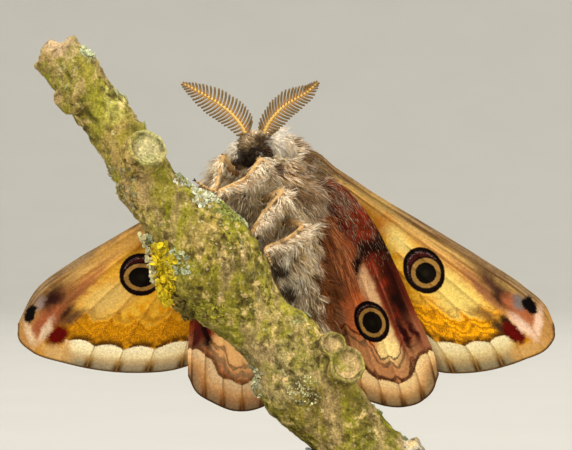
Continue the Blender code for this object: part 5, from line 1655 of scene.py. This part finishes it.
# lichens: the place in the photo, reach in pixels, how many lobes, their radius and their tone
lichenForm = [
    ((163, 280), (12, 30), 150, 0.50, (0.86, 0.76, 0.06)), ((150, 252), (7, 22), 46, 0.42, (0.72, 0.74, 0.56)),
    ((206, 193), (17, 15), 80, 0.27, (0.86, 0.86, 0.72)), ((232, 210), (16, 12), 46, 0.30, (0.62, 0.64, 0.30)),
    ((184, 178), (9, 8), 20, 0.26, (0.84, 0.85, 0.74)), ((180, 262), (14, 12), 36, 0.36, (0.74, 0.77, 0.62)),
    ((118, 190), (20, 26), 50, 0.24, (0.66, 0.62, 0.44)), ((304, 392), (17, 15), 56, 0.17, (0.80, 0.78, 0.56)),
    ((255, 385), (8, 26), 50, 0.26, (0.74, 0.73, 0.58)), ((200, 312), (26, 8), 40, 0.34, (0.66, 0.62, 0.16)),
    ((298, 320), (7, 5), 12, 0.18, (0.66, 0.68, 0.42)), ((92, 50), (12, 6), 26, 0.34, (0.84, 0.86, 0.68)),
    ((222, 240), (26, 34), 26, 0.16, (0.74, 0.67, 0.50)),
]
# how much of a patch's count and radius its lobes take, how uneven its edge is, and the spread of sizes
patchForm = {"count": 1.7, "radius": 0.72, "edge": 0.35, "sizes": (0.45, 1.25)}
# lichen that hangs over the bark's edge: its line in the photo, half width in pixels, lobes, radius and tone
lichenFringe = [
    (((142, 234), (147, 246), (151, 262), (154, 274), (156, 283)), 2.8, 84, 0.27, (0.90, 0.86, 0.64)),
    (((156, 244), (159, 262), (161, 280), (164, 292), (167, 301)), 4.6, 150, 0.40, (0.94, 0.83, 0.05)),
    (((177, 301), (183, 307), (190, 315)), 4.8, 76, 0.36, (0.50, 0.43, 0.14)),
]
# how far off its line the bark is looked at, how far before or behind that bark it hangs, and which way
fringeForm = {"reach": 60, "before": (-0.1, 0.5), "turn": (-0.3, -1.0, 0.0), "sizes": (0.6, 1.2), "spread": 0.18}
# crusts on the twig's back: from which swelling on, how far off the sawn ends, and their lobes
crustForm = {"from": 0.42, "clear": 3.2, "lobes": 320, "radius": 0.38, "sizes": (0.5, 1.25),
             "tone": (0.74, 0.76, 0.55)}
lobeForm = {"wave": 0.42, "thick": 0.22, "curl": 0.38, "tilt": 0.55}


def lobeShapes(places, normals, sizes, draw):
    # a lobe is a flat, lumpy ball whose rim curls up a little; rows are the lobes, all made at once
    ball, quads, tris = ballShape((0, 0, 0), (1.0, 1.0, 1.0), 0.0, 5, 8)
    wave = 1 + lobeForm["wave"] * lump(ball[None] + draw.uniform(0, 40, (len(places), 1, 3)), 0.7, 3)
    curl = lobeForm["curl"] * np.linalg.norm(ball[:, :2], axis=1) ** 2 * wave
    curl = lobeForm["thick"] * ball[:, 2] + curl
    side = unit(np.cross(normals, draw.normal(0, 1, normals.shape)))
    axes = side, np.cross(normals, side), normals
    moved = sum(shape[..., None] * axis[:, None]
                for shape, axis in zip((ball[:, 0] * wave, ball[:, 1] * wave, curl), axes))
    return repeated(places[:, None] + sizes[:, None, None] * moved, quads, tris)


def apparent(points):
    # where points appear in the photo, in pixels
    reach = -eyePoint[1] / (points[:, 1] - eyePoint[1])
    flat = eyePoint + (points - eyePoint) * reach[:, None]
    return np.stack([flat[:, 0] / pixel + photoSize[0] / 2, photoSize[1] - (flat[:, 2] - frameFoot) / pixel], -1)


def lichenMesh():
    # lobes grow on bark points about each named place, along the fringes, and in crusts on the twig's back
    points, normals = readMesh(twigMesh)
    seen = apparent(points)
    facing = normals[:, 1] < 0.15
    draw = np.random.default_rng(77)
    grown = []

    def grow(spots, ups, sizes, shade, spread=0.22):
        # lobes of one tone, each a little lighter or darker
        grown.append((spots, ups, sizes, tone(*shade) * np.exp(spread * draw.normal(0, 1, (len(spots), 1)))))

    for centre, reach, count, size, shade in lichenForm:
        away = np.linalg.norm((seen - np.array(centre)) / np.array(reach), axis=-1)
        near = np.flatnonzero((away + patchForm["edge"] * lump(points, 0.8, 31) < 1) & facing)
        if len(near):
            chosen = draw.choice(near, min(int(patchForm["count"] * count), len(near)), replace=False)
            sizes = size * patchForm["radius"] * draw.uniform(*patchForm["sizes"], len(chosen))
            grow(points[chosen], normals[chosen], sizes, shade)
    for line, half, count, size, shade in lichenFringe:
        spot = readAlong(draw.uniform(0, len(line) - 1, count), range(len(line)), line)
        spot += half * draw.uniform(-1, 1, spot.shape)
        off = np.linalg.norm(seen - np.mean(line, axis=0), axis=1)
        close = np.flatnonzero(facing & (off < fringeForm["reach"]))
        nearest = close[np.argmin(np.linalg.norm(seen[close][None] - spot[:, None], axis=-1), axis=1)]
        depth = points[nearest, 1] - draw.uniform(*fringeForm["before"], count)
        spots = sightOf(np.stack(atPhoto(spot[:, 0], spot[:, 1], depth), -1))
        sizes = size * draw.uniform(*fringeForm["sizes"], count)
        grow(spots, unit(normals[nearest] + np.array(fringeForm["turn"])), sizes, shade, fringeForm["spread"])
    sawn = [sightOf([end])[0] for _, end, _, _, isSawn in stumpForm.values() if isSawn]
    clear = np.min([np.linalg.norm(points - end, axis=1) for end in sawn], axis=0) > crustForm["clear"]
    rough = np.flatnonzero((lump(points, 2.4, 33) > crustForm["from"]) & (normals[:, 1] > 0.0)
                           & (points[:, 2] > frameFoot) & clear)
    chosen = draw.choice(rough, crustForm["lobes"], replace=False)
    sizes = crustForm["radius"] * draw.uniform(*crustForm["sizes"], len(chosen))
    grow(points[chosen], normals[chosen], sizes, crustForm["tone"])
    places, ups, sizes, tones = (np.concatenate(rows) for rows in zip(*grown))
    ups = unit(ups + lobeForm["tilt"] * draw.normal(0, 1, ups.shape))
    shape = lobeShapes(places, ups, sizes, draw)
    colour = np.repeat(np.clip(tones, 0, 1), len(shape[0]) // len(places), axis=0)
    return fillMesh("lichens", shape, None, {"lobeTone": fullColour(colour)})


lichenFinish, tree, shader = newFinish("lichen", Roughness=0.85)
fine = clouds(ownPlace(tree), 3200.0, 3.0)[0]
paint(shader, shaded(ownField(tree, "lobeTone", "Color"), step(fine, 0.3, 0.7, 0.72, 1.12)))
relief(shader, fine, 0.6, 0.06 * mm)
piece("lichens", lichenMesh(), lichenFinish)


# stand

standFinish, tree, shader = newFinish("stand", Roughness=0.42, Coat_Weight=0.25, Coat_Roughness=0.2)
place = ownPlace(tree)
speck = clouds(place, 1800.0, 3.0)[0]
paint(shader, lay(speck, tone(0.13, 0.13, 0.135), tone(0.21, 0.21, 0.215)),
      step(clouds(place, 120.0, 3.0)[0], 0.3, 0.7, 0.36, 0.50))
relief(shader, speck, 0.25, 0.02 * mm)
rodFinish, tree, shader = newFinish("rod", Metallic=1.0, Roughness=0.3)
brushed = add(tree, "ShaderNodeMapping", {"Vector": ownPlace(tree), "Scale": (1.0, 1.0, 12.0)}).outputs[0]
lines = clouds(brushed, 900.0, 3.0)[0]
paint(shader, lay(lines, tone(0.56, 0.56, 0.57), tone(0.72, 0.72, 0.73)), step(lines, 0.3, 0.7, 0.22, 0.40))
for name, finish, slot in (("stand_base", standFinish, "stand"), ("stand_rod_middle", rodFinish, "rod"),
                           ("stand_rod_end", rodFinish, "rod")):
    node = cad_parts[name]
    node.data.materials.clear()
    node.data.materials.append(finish)


# room, light and camera

roomForm = {"radius": 1600.0, "floor": 1000.0, "wall": 1500.0, "sides": 96, "rings": 7, "first": 20.0,
            "bendSteps": 14}


def roomShape(form):
    # a profile turned about Z: flat floor, a quarter bend, then an upright wall
    bend = form["radius"] - form["floor"]
    arc = np.linspace(0, math.pi / 2, form["bendSteps"])
    flat = np.linspace(form["first"], form["floor"], form["rings"], endpoint=False)
    across = np.concatenate([flat, form["floor"] + bend * np.sin(arc), [form["radius"]]])[:, None]
    height = np.concatenate([0 * flat, bend * (1 - np.cos(arc)), [form["wall"]]])[:, None]
    turn = np.linspace(0, math.tau, form["sides"], endpoint=False)
    points = np.stack([across * np.cos(turn), across * np.sin(turn), height + 0 * turn], -1).reshape(-1, 3)
    return (np.concatenate([points, [[0, 0, 0]]]), gridFaces(len(across), form["sides"], around=True)[:, ::-1],
            fan(len(points), 0, form["sides"]))


paperFinish, tree, shader = newFinish("paper", Roughness=0.85)
paint(shader, lay(clouds(ownPlace(tree), 30.0, 3.0)[0], tone(0.79, 0.785, 0.765), tone(0.815, 0.81, 0.79)))
room = newObject("room", fillMesh("room", roomShape(roomForm)))
room.data.materials.append(paperFinish)

lampForm = {   # place, aim, width, power and colour
    "keyLight": ((-620, -900, 1150), (0, 0, 30), 620, 20.0, (1.0, 0.96, 0.88)),
    "fillLight": ((820, -900, 260), (0, 0, 30), 900, 8.2, (1.0, 0.98, 0.93)),
    "backLight": ((420, 700, 1100), (0, 0, 32), 700, 9.6, (1.0, 0.97, 0.90)),
    "topLight": ((0, 0, 1450), (0, 0, 0), 1100, 6.2, (1.0, 0.98, 0.93)),
}
for name, (place, aim, size, power, colour) in lampForm.items():
    light = bpy.data.lights.new(name, "AREA")
    light.shape, light.size, light.energy, light.color = "DISK", size * mm, power, colour
    lamp = newObject(name, light)
    lamp.location = np.array(place) * mm
    lamp.rotation_euler = Vector((np.array(aim) - np.array(place)) * mm).to_track_quat("-Z", "Y").to_euler()

skyForm = {"Color": (1.0, 0.965, 0.89, 1.0), "Strength": 0.34}
sky = bpy.data.worlds.new("sky")
bpy.context.scene.world = sky
bpy.context.scene.view_settings.view_transform = "Standard"
sky.use_nodes = True
for title, value in skyForm.items():
    sky.node_tree.nodes["Background"].inputs[title].default_value = value

view = bpy.data.cameras.new("camera")
camera = newObject("camera", view)
bpy.context.scene.camera = camera
camera.location = (eyePoint + centring) * mm
camera.rotation_euler = (math.pi / 2, 0, 0)
view.sensor_width = 36.0
view.lens = view.sensor_width * -eyePoint[1] / (photoSize[0] * pixel)
view.clip_start, view.clip_end = 0.01, 10.0
view.dof.use_dof = False
